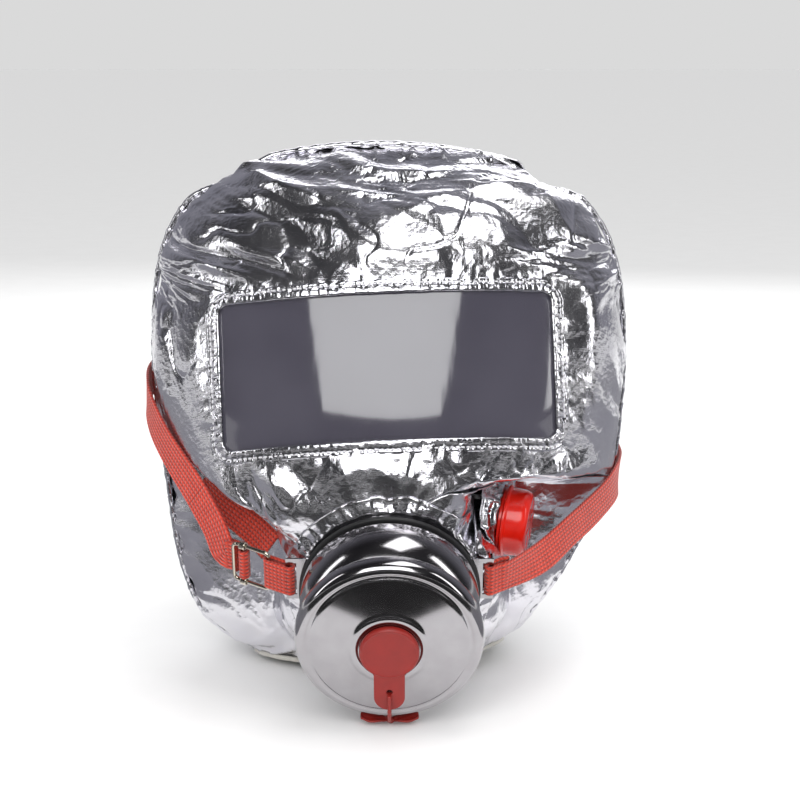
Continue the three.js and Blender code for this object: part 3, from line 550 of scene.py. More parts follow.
def hood_point(angle, z, inset=0.0):
    z = z + 0 * angle
    rolled = HEM_ROLL * (1 - smooth_step(z, HEM_Z, HEM_Z + HEM_ROLL_HEIGHT)) ** 2
    radius = hood_radius(angle, z) - inset - rolled
    x = radius * np.sin(angle)
    y = MIDDLE_Y - radius * np.cos(angle)
    return np.stack([x, y, z - crown_sag(x, z) + hem_lift(x, z)], axis=-1)


# %% Places on the hood
CANISTER = place_at(0, -121, 51, Matrix.Rotation(math.radians(110), 3, "X"))
VALVE_AXIS = Vector((0.97, -0.2, -0.12)).normalized()
VALVE = place_at(67.5, -72, 82, Vector((0, 0, 1)).rotation_difference(VALVE_AXIS).to_matrix())
WINDOW_TURN = Matrix.Rotation(math.radians(73), 3, "X") @ Matrix.Rotation(math.radians(2.4), 3, "Z")
WINDOW = place_at(-1.5, -117, 183.5, WINDOW_TURN)
WINDOW_HALF_WIDTH, WINDOW_HALF_HEIGHT, WINDOW_CORNER = 98.5, 43, 6


def seen_from(place, points):
    """Points in millimetres, in the frame of a place: across, up and out of it."""
    inverse = np.array(place.inverted())
    return (points * MM) @ inverse[:3, :3].T / MM + inverse[:3, 3] / MM


print("middle of the canister's face:", tuple(round(v) for v in CANISTER.translation / MM))


# %% [markdown]
# ## Where the head strap runs
# The strap is laid before the cloth, because cloth lies flat under a tight strap: the folds fade
# near it. The stations are those of the model: from the right ear, past the valve, round the
# back of the head and down to the buckle.

# %% Strap stations
STRAP_LIFT = 4.4


def on_hood(degrees, z, lift=0.0):
    angle = np.array(math.radians(degrees))
    round_it = hood_point(angle + 0.05, z) - hood_point(angle - 0.05, z)
    up_it = hood_point(angle, z + 8.0) - hood_point(angle, z - 8.0)
    out = np.cross(round_it, up_it)
    out /= np.linalg.norm(out)
    return hood_point(angle, z) + out * (STRAP_LIFT + lift), out


def beside_hood(x, y, z, out_x, out_y, out_z):
    out = np.array((out_x, out_y, out_z), dtype=float)
    return np.array((x, y, z), dtype=float), out / np.linalg.norm(out)


HEAD_STRAP = [
    beside_hood(90, -101, 66, 0.66, -0.74, 0.05),
    beside_hood(109, -80, 77, 0.76, -0.64, 0.05),
    beside_hood(128, -54, 87, 0.84, -0.53, 0.05),
    beside_hood(141, -31, 96, 0.93, -0.35, 0.05),
    on_hood(94, 103, 1.2),
    on_hood(104, 109), on_hood(116, 117), on_hood(128, 125), on_hood(140, 132),
    on_hood(152, 138), on_hood(166, 144), on_hood(180, 149), on_hood(194, 153),
    on_hood(208, 157), on_hood(220, 160), on_hood(232, 162), on_hood(244, 163),
    on_hood(256, 161), on_hood(268, 156, 1.2),
    beside_hood(-149, -38, 145, -0.96, -0.25, 0.1),
    beside_hood(-137, -62, 127, -0.86, -0.47, 0.14),
    beside_hood(-119, -85, 106, -0.74, -0.64, 0.16),
]


def distance_to_line(points, line):
    nearest = np.full(points.shape[:-1], 1e9)
    for start, end in zip(line[:-1], line[1:]):
        way = end - start
        t = np.clip(((points - start) @ way) / (way @ way), 0, 1)
        nearest = np.minimum(nearest, np.linalg.norm(points - (start + t[..., None] * way), axis=-1))
    return nearest


STRAP_LINE = [station[0] for station in HEAD_STRAP]
print("strap round the hood in mm:",
      round(sum(np.linalg.norm(b - a) for a, b in zip(STRAP_LINE, STRAP_LINE[1:]))))


# %% [markdown]
# ## Panels of the bag
# Three panels are sewn together: the face, the chin under the ridge, and the back. Each is a
# grid of points, rows up and columns round, which ends exactly on its seams, so no edge is ragged.
# Over the crown the rows run on to the seam that crosses it.

# %% Panel grids
GRAIN_FRONT, GRAIN_BACK = ((1.05, 1.8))
CROWN_RISE, CROWN_HALF = 3.0, 95
CROWN_ROUNDED = (270, 300)  # heights between which the sides turn over
CROWN_SWELLS = (285, 302)


def panel_grid(first, last, low, high, grain, crown):
    """Points of a panel between two angles and from low to high, both functions of the angle."""
    columns = int(abs(last - first) * 140 / grain) + 1
    angle = np.linspace(first, last, columns)
    rows = int(np.max(high(angle) - low(angle)) / grain) + 1
    share = np.linspace(0, 1, rows)[:, None]
    z = low(angle) + (high(angle) - low(angle)) * share
    points = hood_point(np.broadcast_to(angle, z.shape), z)
    if crown:
        edge = points[-1]
        depth = np.max(np.abs(edge[:, 1] - MIDDLE_Y))
        reach = np.linspace(0, 1, int(depth / grain) + 2)[1:, None]
        cap = np.empty((len(reach), columns, 3))
        cap[..., 0] = edge[:, 0]
        cap[..., 1] = edge[:, 1] + (MIDDLE_Y - edge[:, 1]) * reach
        cap[..., 2] = edge[:, 2]
        points = np.concatenate([points, cap])
        # Round the edge of the crown, then let the top swell a little.
        turning = np.concatenate([smooth_step(z, *CROWN_ROUNDED) + 0 * angle, np.ones(cap.shape[:2])])
        turning[-1] = 0
        for _ in range(int(60 / grain)):
            smooth = points.copy()
            smooth[1:-1] = (points[:-2] + points[2:]) / 2
            points += (smooth - points) * turning[..., None]
        height = np.concatenate([z + 0 * angle, np.full(cap.shape[:2], CROWN_Z)])
        over = smooth_step(height, *CROWN_SWELLS)
        points[..., 2] += CROWN_RISE * over * (1 - (points[..., 0] / CROWN_HALF) ** 2).clip(0)
    return points


def level(z):
    return lambda angle: z + 0 * angle


SEAM_GAP = 0.3
EDGE = math.pi / 2 - SEAM_GAP / 140
face_grid = panel_grid(-EDGE, EDGE, lambda a: ridge_height(a) + 0.2, level(CROWN_Z), GRAIN_FRONT, True)
chin_grid = panel_grid(-EDGE, EDGE, level(HEM_Z), lambda a: ridge_height(a) - 0.2, GRAIN_FRONT, False)
back_grid = panel_grid(math.pi - EDGE, math.pi + EDGE, level(HEM_Z), level(CROWN_Z), GRAIN_BACK, True)
for name, grid in (("face", face_grid), ("chin", chin_grid), ("back", back_grid)):
    print(name, "panel grid:", grid.shape[0], "rows of", grid.shape[1])


# %% [markdown]
# ## Folding the foil
# Foil laminate doesn't stretch, so it can't drape softly: it buckles into flat facets that meet in
# sharp creases, as crumpled paper does. Smooth noise alone would look like rubber. So we make
# a lattice of random heights and join them by flat triangles, bend its lines with a little smooth
# noise, and add a finer lattice where the cloth is more worn. Along the seams the sewing thread
# draws the cloth into short puckers.

# %% Noise on a panel
def table_of(seed):
    return np.random.default_rng(seed).uniform(-1, 1, (97, 97))


def look_up(table, i, j):
    return table[i.astype(int) % 97, j.astype(int) % 97]


def soft_noise(u, v, size_u, size_v, seed):
    """Smooth random heights between -1 and 1, size_u by size_v apart."""
    x, y = u / size_u, v / size_v
    i, j = np.floor(x), np.floor(y)
    a, b = smooth_step(x - i, 0, 1), smooth_step(y - j, 0, 1)
    table = table_of(seed)
    low = look_up(table, i, j) * (1 - a) + look_up(table, i + 1, j) * a
    high = look_up(table, i, j + 1) * (1 - a) + look_up(table, i + 1, j + 1) * a
    return low * (1 - b) + high * b


def flat_facets(u, v, size_u, size_v, seed):
    """Random heights between -1 and 1, joined by flat triangles with sharp edges."""
    bend_u = 0.55 * soft_noise(u, v, size_u * 1.3, size_v * 1.3, seed + 1)
    bend_v = 0.55 * soft_noise(u, v, size_u * 1.3, size_v * 1.3, seed + 2)
    y = v / size_v + bend_v
    x = u / size_u + bend_u + y / 2
    i, j = np.floor(x), np.floor(y)
    a, b = x - i, y - j
    table = table_of(seed)
    h00, h10 = look_up(table, i, j), look_up(table, i + 1, j)
    h01, h11 = look_up(table, i, j + 1), look_up(table, i + 1, j + 1)
    lower = h00 + a * (h10 - h00) + b * (h01 - h00)
    upper = h11 + (1 - a) * (h01 - h11) + (1 - b) * (h10 - h11)
    return np.where(a + b < 1, lower, upper)


def crease_lines(u, v, size_u, size_v, seed):
    """Thin sharp lines where a smooth noise passes zero."""
    value = soft_noise(u, v, size_u, size_v, seed)
    value = value + 0.3 * soft_noise(u, v, size_u / 2.3, size_v / 2.3, seed + 5)
    return np.exp(-np.abs(value) / 0.07)


def unit_normals(points):
    along = np.gradient(points, axis=1)
    up = np.gradient(points, axis=0)
    normal = np.cross(along, up)
    length = np.linalg.norm(normal, axis=-1, keepdims=True)
    return normal / np.maximum(length, 1e-9)


# %% Crumple
GIRTH_RADIUS = 135
CROWN_FLAT = (225, 290)  # heights between which the pattern goes from round to straight across
CROWN_DEPTH, CROWN_WIDTH = 98, 116  # half sizes of the crown's edge


def crumple(points, seed):
    """Height of the crumpled foil over its smooth shape, in mm."""
    x, depth, z = points[..., 0], np.abs(MIDDLE_Y - points[..., 1]), points[..., 2]
    angle = np.arctan2(x, depth)
    # Round the bag by angle, but straight across the crown, where the angles would meet in a star.
    flat = smooth_step(z, *CROWN_FLAT)
    u = (angle * GIRTH_RADIUS + x * 0.2) * (1 - flat) + x * 1.4 * flat
    crown_edge = CROWN_DEPTH * np.sqrt(np.clip(1 - (x / CROWN_WIDTH) ** 2, 0, 1))
    v = z + 0.8 * smooth_step(z, 262, 298) * np.clip(crown_edge - depth, 0, None)
    brow = smooth_step(z, 205, 250)
    side = smooth_step(np.abs(angle), 0.5, 1.1) * (1 - brow)
    u = u / (1 + 0.55 * brow)
    v = v / (1 + 0.7 * side)
    worn = smooth_step(soft_noise(u, v, 34, 30, seed + 40), -0.15, 0.45)
    layers = (
        # height, kind of relief, its size round and up the bag, change of seed
        (3.0, soft_noise, 58, 52, 0),
        (3.6, flat_facets, 46, 40, 10),
        (1.5, flat_facets, 21, 19, 20),
        ((0.15 + 0.75 * worn) * 0.8, flat_facets, 9, 8, 30),
        (-0.9, crease_lines, 30, 24, 50),
        (0.45 * worn, crease_lines, 12, 11, 60),
    )
    height = np.zeros(u.shape)
    for size, relief, size_round, size_up, change in layers:
        height += size * relief(u, v, size_round, size_up, seed + change)
    return height


# %% Puckers and quiet places
def pucker(along, distance, spacing, reach, depth, seed):
    """Short gathers that run away from a seam. Along is the place on the seam, in mm."""
    fade = np.clip(1 - distance / reach, 0, 1) ** 1.5
    wander = along + 3 * soft_noise(along, distance, 30, 25, seed + 1)
    wave = soft_noise(wander, distance, spacing, reach * 1.4, seed)
    sharp = np.abs(soft_noise(wander, distance, spacing * 1.3, reach * 1.2, seed + 2))
    return fade * depth * (wave * 0.9 + 0.5 - sharp * 1.4)


def outside_rectangle(points):
    """Distance outwards from the visor's opening, and the place along its outline, in mm."""
    x, y, out = np.moveaxis(seen_from(WINDOW, points), -1, 0)
    dx = np.abs(x) - (WINDOW_HALF_WIDTH - WINDOW_CORNER)
    dy = np.abs(y) - (WINDOW_HALF_HEIGHT - WINDOW_CORNER)
    away = np.hypot(np.maximum(dx, 0), np.maximum(dy, 0)) + np.minimum(np.maximum(dx, dy), 0)
    away -= WINDOW_CORNER
    along = np.where(dx > dy, y * np.sign(x) + 300, x * np.sign(y))
    away = np.where(out < -75, 999.0, away)
    return away, along


def round_place(place, points):
    """Radius, angle and height of points about a place's axis."""
    x, y, out = np.moveaxis(seen_from(place, points), -1, 0)
    return np.hypot(x, y), np.arctan2(y, x), out


def fold_panel(points, seed):
    """The folded panel: its points move along their normals."""
    away, window_along = outside_rectangle(points)
    canister_radius, canister_angle, _ = round_place(CANISTER, points)
    canister_radius = np.where(points[..., 1] < -40, canister_radius, 999.0)
    valve_radius, valve_angle, valve_out = round_place(VALVE, points)
    valve_radius = np.where(valve_out > -30, valve_radius, 999.0)
    strap = distance_to_line(points, STRAP_LINE)
    seam = np.abs(points[..., 1] - MIDDLE_Y)
    hem = points[..., 2] - HEM_Z

    calm = smooth_step(away, 3, 24) * smooth_step(canister_radius, 58, 78)
    calm = calm * smooth_step(valve_radius, 27, 44) * (0.35 + 0.65 * smooth_step(strap, 8, 26))
    calm = calm * (0.25 + 0.75 * smooth_step(seam, 1, 18)) * (0.25 + 0.75 * smooth_step(hem, 1, 20))
    height = crumple(points, seed) * calm
    hem_along = np.where(points[..., 1] < MIDDLE_Y, 1, -1) * points[..., 0] + points[..., 1]
    gathers = (
        # place along the seam, distance from it, spacing, reach, depth, seed
        (along_seam(points), seam, 6.5, 26, 1.9, seed + 70),
        (window_along, np.maximum(away - 5, 0), 5.0, 16, 0.8, 77),
        (canister_angle * 60 + 700, np.maximum(canister_radius - 57, 0), 6, 22, 1.4, 78),
        (valve_angle * 30 + 300, np.maximum(valve_radius - 27, 0), 6, 14, 0.9, 79),
        (hem_along, hem, 9, 30, 2.0, seed + 71),
    )
    for gather in gathers:
        height += pucker(*gather)
    limit = np.where(strap < 13, 2.6, 6.5)
    return points + unit_normals(points) * np.clip(height, -9, limit)[..., None]


def along_seam(points):
    """Place along the side seams and over the crown, which the panels share."""
    x, z = points[..., 0], points[..., 2]
    return np.where(z > 296, x + 900, z + 300 * np.sign(x))


face_folded = fold_panel(face_grid, 11)
chin_folded = fold_panel(chin_grid, 212)
back_folded = fold_panel(back_grid, 413)
print("the face's folds move it by", np.round(np.abs(face_folded - face_grid).max(), 1), "mm at most")


# %% [markdown]
# ## Panels as cloth
# Each grid becomes a mesh without the quads that fall in an opening, and gets the cloth's
# thickness inwards. The foil is on the outside and the cotton on the inside, as two materials of
# one piece. The ragged edges of the openings lie hidden: the visor's under its hem, the canister's
# under its collar and the valve's under its patch.

# %% Panels
FOIL_SHEET = 0.7


def panel_piece(name, grid, folded):
    away, _ = outside_rectangle(grid)
    canister_radius, _, canister_out = round_place(CANISTER, grid)
    valve_radius, _, valve_out = round_place(VALVE, grid)
    keep = away > 2.4
    keep &= ~((canister_radius < 54) & (canister_out > -60))
    keep &= ~((valve_radius < 25) & (np.abs(valve_out) < 24))
    keep = keep[:-1, :-1] & keep[1:, :-1] & keep[:-1, 1:] & keep[1:, 1:]
    faces = grid_faces(*grid.shape[:2], keep=keep)
    piece = as_object(name, folded.reshape(-1, 3) * MM, faces)
    used = np.zeros(len(piece.data.vertices), dtype=bool)
    used[np.array([v for f in faces for v in f])] = True
    work = bmesh.new()
    work.from_mesh(piece.data)
    work.verts.ensure_lookup_table()
    bmesh.ops.delete(work, geom=[work.verts[i] for i in np.nonzero(~used)[0]], context="VERTS")
    work.to_mesh(piece.data)
    work.free()
    area = sum(face.area for face in piece.data.polygons)
    return piece, area


face_panel, face_area = panel_piece("face_foil", face_grid, face_folded)
chin_panel, chin_area = panel_piece("chin_foil", chin_grid, chin_folded)
back_panel, back_area = panel_piece("back_foil", back_grid, back_folded)

graph = bpy.context.evaluated_depsgraph_get()
face_surface = BVHTree.FromObject(face_panel, graph)
chin_surface = BVHTree.FromObject(chin_panel, graph)

for piece, node in ((face_panel, "face_panel"), (chin_panel, "chin_panel"), (back_panel, "back_panel")):
    thicken(piece, FOIL_SHEET * MM, inner_slot=1)
    finish_piece(piece, "hood", [foil, lining], [node])
print("panel areas in square metres:", [round(a, 4) for a in (face_area, chin_area, back_area)])


# %% [markdown]
# ## Visor
# The visor is one piece of film, bent round the face and sewn behind the opening. We shoot rays at
# the smooth, unfolded hood from in front, over a plain grid, and lay the film just inside. A slow
# ripple is added because film that is sewn at its edges is never quite true.

# %% Smooth hood to aim at
def smooth_hood():
    angle = np.linspace(-math.pi, math.pi, 241)[:-1]
    z = np.arange(HEM_Z, CROWN_Z + 0.1, 2.0)[:, None]
    points = hood_point(np.broadcast_to(angle, (len(z), len(angle))), z)
    faces = grid_faces(len(z), len(angle), wrap_columns=True)
    return BVHTree.FromPolygons([tuple(p * MM) for p in points.reshape(-1, 3)], faces)


SMOOTH = smooth_hood()


def dropped(surfaces, place, x, y, lift, start=90):
    """The point of a surface that lies under (x, y) of a place, lifted off it, in metres."""
    towards = -axis_of(place, 0, 0, 1)
    origin = put(place, x, y, start)
    hits = [surface.ray_cast(origin, towards) for surface in surfaces]
    hits = [hit for hit in hits if hit[0] is not None]
    if not hits:
        return None
    nearest = min(hits, key=lambda hit: hit[3])
    return nearest[0] - towards * lift * MM


# %% Film
def make_visor():
    half_x, half_y = WINDOW_HALF_WIDTH + 5, WINDOW_HALF_HEIGHT + 5
    xs, ys = np.linspace(-half_x, half_x, 121), np.linspace(-half_y, half_y, 49)
    points = []
    for y in ys:
        for x in xs:
            ripple = 0.35 * wobble(x / 55, y / 90, 2)
            points.append(dropped([SMOOTH], WINDOW, x, y, -(CLOTH + GAP + 0.2) + ripple))
    piece = as_object("visor_film", points, grid_faces(len(ys), len(xs)))
    thicken(piece, 0.5 * MM)
    finish_piece(piece, "hood", film, ["visor"])


make_visor()


# %% [markdown]
# ## The visor's hem
# A strip of the same foil is folded over the edge of the opening and stitched through. A fold has a
# round inner edge, and each stitch pulls it down, so the strip is quilted into small pillows. We
# sweep a short profile round the opening and drop it onto the hood, then set one thread capsule in
# each stitch hole.

# %% Outline of the opening
STITCH_PITCH = 3.1
STITCH_IN = 5.2


def opening_outline(outset, spacing):
    """Points round the visor's opening, moved outwards: (x, y, outward x, outward y, place)."""
    radius = WINDOW_CORNER + outset
    straight_x = WINDOW_HALF_WIDTH - WINDOW_CORNER
    straight_y = WINDOW_HALF_HEIGHT - WINDOW_CORNER
    quarter = (WINDOW_CORNER + 3.5) * math.pi / 2
    lengths = [2 * straight_y, quarter, 2 * straight_x, quarter] * 2
    count = round(sum(lengths) / spacing)
    outline = []
    for place in np.arange(count) * sum(lengths) / count:
        side, left = 0, place
        while left > lengths[side]:
            left -= lengths[side]
            side += 1
        share = left / lengths[side]
        corner = side // 2
        centre = [(1, 1), (-1, 1), (-1, -1), (1, -1)][corner]
        if side % 2 == 0:
            turn = corner * math.pi / 2
            start = [(1, -1), (1, 1), (-1, 1), (-1, -1)][corner]
            centre = [s + (c - s) * share for s, c in zip(start, centre)]
        else:
            turn = (corner + share) * math.pi / 2
        out = (math.cos(turn), math.sin(turn))
        outline.append((centre[0] * straight_x + out[0] * radius,
                        centre[1] * straight_y + out[1] * radius, *out, place))
    return outline


# %% Hem strip
HEM_PROFILE = [
    # outwards from the opening's edge, height over the smooth hood
    (1.4, -1.6), (0.2, -1.4), (-0.4, -0.6), (-0.1, 0.35), (0.8, 0.75), (1.8, 0.8), (2.8, 0.75),
    (3.8, 0.65), (4.6, 0.4), (STITCH_IN, 0.15), (5.8, 0.4), (6.6, 0.6), (7.3, 0.45), (7.9, 0.0),
    (7.4, -0.8),
]


def make_visor_hem():
    rings = []
    for x, y, out_x, out_y, place in opening_outline(0, 0.6):
        # Gathers: flat stretches of cloth between short sharp folds, across the strip.
        beat = wobble(place / 5.5, 3, 7)
        fold = -1.5 * math.exp(-abs(beat) / 0.07) + 0.7 * wobble(place / 3.1, 8, 1)
        tilt = 0.5 * wobble(place / 9, 5, 2)
        waver = 0.35 * wobble(place / 13, 2, 4)
        stitch = 0.5 + 0.5 * math.cos(2 * math.pi * place / STITCH_PITCH)
        ring = []
        for out, high in HEM_PROFILE:
            pillow = math.exp(-((out - STITCH_IN) / 0.9) ** 2) * (0.15 - 0.35 * stitch)
            across = float(smooth_step(out, 0.1, 1.6))
            rise = high + (fold * 0.32 + tilt * (out - 3) * 0.25) * across + pillow
            at = (x + out_x * (out + waver), y + out_y * (out + waver))
            ring.append(dropped([SMOOTH], WINDOW, *at, rise))
        rings.append(ring)
    points = [p for ring in rings for p in ring]
    faces = grid_faces(len(rings), len(HEM_PROFILE), wrap_rows=True, wrap_columns=True)
    piece = as_object("visor_hem_strip", points, faces)
    finish_piece(piece, "hood", foil, ["visor_hem"])


make_visor_hem()


# %% Stitches
def capsules(name, ends, radius, sides=6):
    """Many short threads in one mesh: each lies between two points and dips at both ends."""
    points, faces = [], []
    shape = ((0.0, 0.15), (0.08, 0.75), (0.3, 1.0), (0.7, 1.0), (0.92, 0.75), (1.0, 0.15))
    for start, end, up in ends:
        way = end - start
        side = way.cross(up).normalized()
        first = len(points)
        for share, wide in shape:
            middle = start + way * share + up * (math.sin(share * math.pi) - 0.4) * radius * 0.9 * MM
            for i in range(sides):
                angle = 2 * math.pi * i / sides
                ray = side * math.cos(angle) + up * math.sin(angle)
                points.append(middle + ray * radius * wide * MM)
        for i in range(len(shape) - 1):
            for j in range(sides):
                k = (j + 1) % sides
                a, b = first + i * sides, first + (i + 1) * sides
                faces.append((a + j, a + k, b + k, b + j))
        faces.append(tuple(first + i for i in range(sides))[::-1])
        last = first + (len(shape) - 1) * sides
        faces.append(tuple(last + i for i in range(sides)))
    return as_object(name, points, faces)


def make_stitches():
    outward = axis_of(WINDOW, 0, 0, 1)
    holes = []
    for x, y, *_ in opening_outline(STITCH_IN, STITCH_PITCH / 2):
        holes.append(dropped([SMOOTH], WINDOW, x, y, 0.55))
    ends = [(holes[i], holes[(i + 1) % len(holes)], outward) for i in range(0, len(holes) - 1, 2)]
    ends = [(a, a + (b - a) * 1.35, up) for a, b, up in ends]
    piece = capsules("visor_stitches", ends, 0.42)
    print("stitches round the visor:", len(ends))
    finish_piece(piece, "hood", thread_finish)


make_stitches()


# %% [markdown]
# ## Seam binding
# The face and the back are joined by a bound seam that runs from hem to hem over the crown. The
# binding is a folded strip, drawn up unevenly by its thread, so its section swells and shrinks.

# %% Binding
SEAM_SIDE_TOP = 284  # above it the seam turns over the crown
CROWN_LEFT, CROWN_RIGHT, CROWN_SHOULDER = 113, 105, 0.62


def seam_line(spacing):
    heights = np.linspace(HEM_Z + 2, SEAM_SIDE_TOP, 260)
    right, left = [hood_point(np.full(len(heights), turn * math.pi / 2), heights)[:, ::2]
                   for turn in (1, -1)]
    left = left[::-1]
    over = np.linspace(0, 1, 60)[1:-1]
    start, end = right[-1], left[0]
    crown = []
    for share in over:
        x = start[0] + (end[0] - start[0]) * share
        half = CROWN_LEFT if x < 0 else CROWN_RIGHT
        top = CROWN_Z + CROWN_RISE * max(0, 1 - (x / CROWN_HALF) ** 2) - float(crown_sag(x, CROWN_Z))
        edge = smooth_step(abs(x / half), CROWN_SHOULDER, 1.0)
        base = start[1] if x > 0 else end[1]
        crown.append((x, top + (base - top) * edge))
    line = np.concatenate([right, crown, left])
    length = np.concatenate([[0], np.cumsum(np.linalg.norm(np.diff(line, axis=0), axis=1))])
    places = np.arange(0, length[-1], spacing)
    return np.stack([np.interp(places, length, line[:, 0]), np.interp(places, length, line[:, 1])],
                    axis=1), places


def make_binding():
    line, places = seam_line(1.2)
    way = np.gradient(line, axis=0)
    way /= np.linalg.norm(way, axis=1, keepdims=True)
    out = np.stack([way[:, 1], -way[:, 0]], axis=1)
    sides, points = 12, []
    for (x, z), (out_x, out_z), place in zip(line, out, places):
        swell = 1 + 0.35 * wobble(place / 5, 1, 1) + 0.2 * wobble(place / 2.2, 4, 1)
        sway = 0.7 * wobble(place / 14, 6, 2)
        for i in range(sides):
            angle = 2 * math.pi * i / sides
            up, across = 1.7 * swell * math.cos(angle), 1.9 * swell * math.sin(angle)
            points.append(Vector((x + out_x * (1.1 + up), MIDDLE_Y + sway + across,
                                  z + out_z * (1.1 + up))) * MM)
    piece = as_object("seam_binding", points, grid_faces(len(line), sides, wrap_columns=True))
    finish_piece(piece, "hood", foil, ["seam_piping"])


make_binding()


# %% [markdown]
# ## Hem tape, neck seal and elastic
# Cotton tape binds the bag's lower edge. Inside it, a cotton disc narrows to an elastic ring that
# closes round the neck. The elastic is shorter than the cloth it gathers, so the cloth stands in
# radial pleats that are deepest at the elastic.

# %% Neck
NECK = (61.0, -6.0, -5.0)


def hem_line(inset, count=360):
    angle = np.linspace(-math.pi, math.pi, count, endpoint=False)
    return hood_point(angle, np.full(count, float(HEM_Z)), inset), angle


def make_hem_tape():
    rings = []
    for inset, z in ((-0.6, -14.2), (-0.9, -14.8), (-0.9, -16.4), (-0.4, -17.0), (1.6, -17.1),
                     (2.4, -16.8), (2.5, -15.2), (2.0, -14.2)):
        points, angle = hem_line(inset)
        wave = np.array([round_wobble(a, 9, 2) for a in angle])
        points[:, 2] += z - HEM_Z + 0.5 * wave
        rings.append(points)
    piece = as_object("hem_tape_strip", np.concatenate(rings) * MM,
                      grid_faces(len(rings), 360, wrap_rows=True, wrap_columns=True))
    finish_piece(piece, "hood", lining, ["hem_tape"])


def make_neck_seal():
    count = 720
    outer, angle = hem_line(CLOTH + 0.6, count)
    across = np.arctan2(outer[:, 0], MIDDLE_Y - outer[:, 1])
    inner = np.stack([NECK[0] * np.sin(across), NECK[1] - NECK[0] * np.cos(across),
                      np.full(count, NECK[2] + 0.7)], axis=1)
    outer[:, 2] += 1.2
    rings = []
    for share in np.linspace(0, 1, 26):
        pleat = np.array([math.sin(a * 46 + 2 * round_wobble(a, 4, 0))
                          for a in across])
        ring = outer + (inner - outer) * share
        ring[:, 2] += pleat * 1.5 * share ** 1.5 - 3.5 * math.sin(share * math.pi) * (1 - share)
        rings.append(ring)
    piece = as_object("neck_seal_cloth", np.concatenate(rings) * MM,
                      grid_faces(len(rings), count, wrap_columns=True))
    area = sum(face.area for face in piece.data.polygons)
    thicken(piece, 0.7 * MM, offset=0)
    return finish_piece(piece, "hood", lining, ["neck_seal"]), area


def make_elastic():
    radius = NECK[0] - 2.1
    rings = []
    for i in range(240):
        a = 2 * math.pi * i / 240
        thick = 1.7 + 0.12 * math.sin(a * 92)
        for j in range(14):
            b = 2 * math.pi * j / 14
            rings.append(Vector(((radius + thick * math.cos(b)) * math.sin(a),
                                 NECK[1] - (radius + thick * math.cos(b)) * math.cos(a),
                                 NECK[2] + 0.7 + thick * math.sin(b))) * MM)
    piece = as_object("neck_elastic_cord", rings, grid_faces(240, 14, True, True))
    finish_piece(piece, "hood", elastic_finish, ["neck_elastic"])


make_hem_tape()
neck_seal, seal_area = make_neck_seal()
make_elastic()


# %% [markdown]
# ## Canister
# The canister is spun from sheet steel: a drum, a rolled-on lid with a groove inside its rim, and
# a raised boss round the air inlet. All of it is round, so each part is one profile turned about
# the canister's axis, with enough segments that the mirror finish shows no corners.

# %% Drum and lid
SHELL_PROFILE = rounded_profile([
    (17, -16), (19.8, -16, 0.4), (19.8, 4.2, 1.0), (49.6, 4.2, 1.6), (52, 6.4, 1.6), (52, 46.6),
    (51, 46.6), (51, 7, 1.0), (49, 5.3), (17, 5.3),
])
canister_shell = turned("canister_drum", SHELL_PROFILE, CANISTER, 160)
finish_piece(canister_shell, "hood", steel, ["canister_shell"])

LID_PROFILE = rounded_profile([
    (52.3, 42, 0.2), (53.3, 41.9, 0.5), (54, 43.0, 0.8), (53.7, 46.6, 1.0), (52.9, 49.4, 1.5),
    (50.9, 51.7, 1.8), (48.4, 52.4, 1.2), (47.2, 51.7, 0.8), (46.0, 51.9, 0.8), (44.6, 53.0, 1.4),
    (23.4, 56.2, 1.5), (21.6, 57.4, 1.0), (19, 57.4, 0.8), (17.8, 56.5, 0.5), (14.6, 56.5, 0.3),
    (14.6, 55.5), (23, 55.2), (45.3, 51.2), (48.8, 50.7), (51.5, 49.2), (52.3, 47),
], steps=6)
canister_lid = turned("canister_lid_pressing", LID_PROFILE, CANISTER, 160)
finish_piece(canister_lid, "hood", steel, ["canister_lid"])

GASKET_PROFILE = rounded_profile([
    (38, 1.2), (52.4, 1.2, 0.5), (53, 1.9, 0.5), (53, 3.1, 0.5), (52.4, 3.8, 0.5), (38, 3.8),
])
gasket = turned("canister_seal_ring", GASKET_PROFILE, CANISTER, 128)
finish_piece(gasket, "hood", black_rubber, ["canister_gasket"])


# %% [markdown]
# ## Collar
# The bag is gathered onto the canister's neck and clamped, so a collar of foil shows round the
# drum. It runs flat under the clamp, then opens out in pleats until it lies on the panels. For
# each spoke we find the cloth below with a ray and let the collar's edge settle on it.

# %% Collar
COLLAR_RADII = np.concatenate([np.linspace(24, 48, 7), np.linspace(49.5, 62, 16)])


def make_collar():
    count = 480
    points = []
    towards = -axis_of(CANISTER, 0, 0, 1)
    for radius in COLLAR_RADII:
        for i in range(count):
            a = 2 * math.pi * i / count
            notch = math.exp(-((a - math.pi / 2) / 0.06) ** 2)
            edge = 1 - 0.035 * notch * smooth_step(radius, 50, 60)
            x, y = radius * edge * math.cos(a), radius * edge * math.sin(a)
            pleat = round_wobble(a, 11, radius / 40)
            fine = round_wobble(a, 26, 5)
            opened = smooth_step(radius, 49, 62)
            height = -1.6 + (pleat * 2.0 + fine * 0.9) * opened
            rest = dropped([face_surface, chin_surface], CANISTER, x, y, 0.9, start=40)
            if rest is not None and radius > 50:
                settled = ((CANISTER.inverted() @ rest) / MM).z
                settle = smooth_step(radius, 50, 60.5)
                height = min(height, -1.2) * (1 - settle) + (settled + 0.25 * (pleat + 1)) * settle
                height = min(height, -1.1)
            points.append(put(CANISTER, x, y, height))
    faces = grid_faces(len(COLLAR_RADII), count, wrap_columns=True)
    piece = as_object("canister_collar_foil", points, faces)
    area = sum(face.area for face in piece.data.polygons)
    thicken(piece, 0.5 * MM)
    return finish_piece(piece, "hood", [foil], ["canister_collar"]), area


collar, collar_area = make_collar()


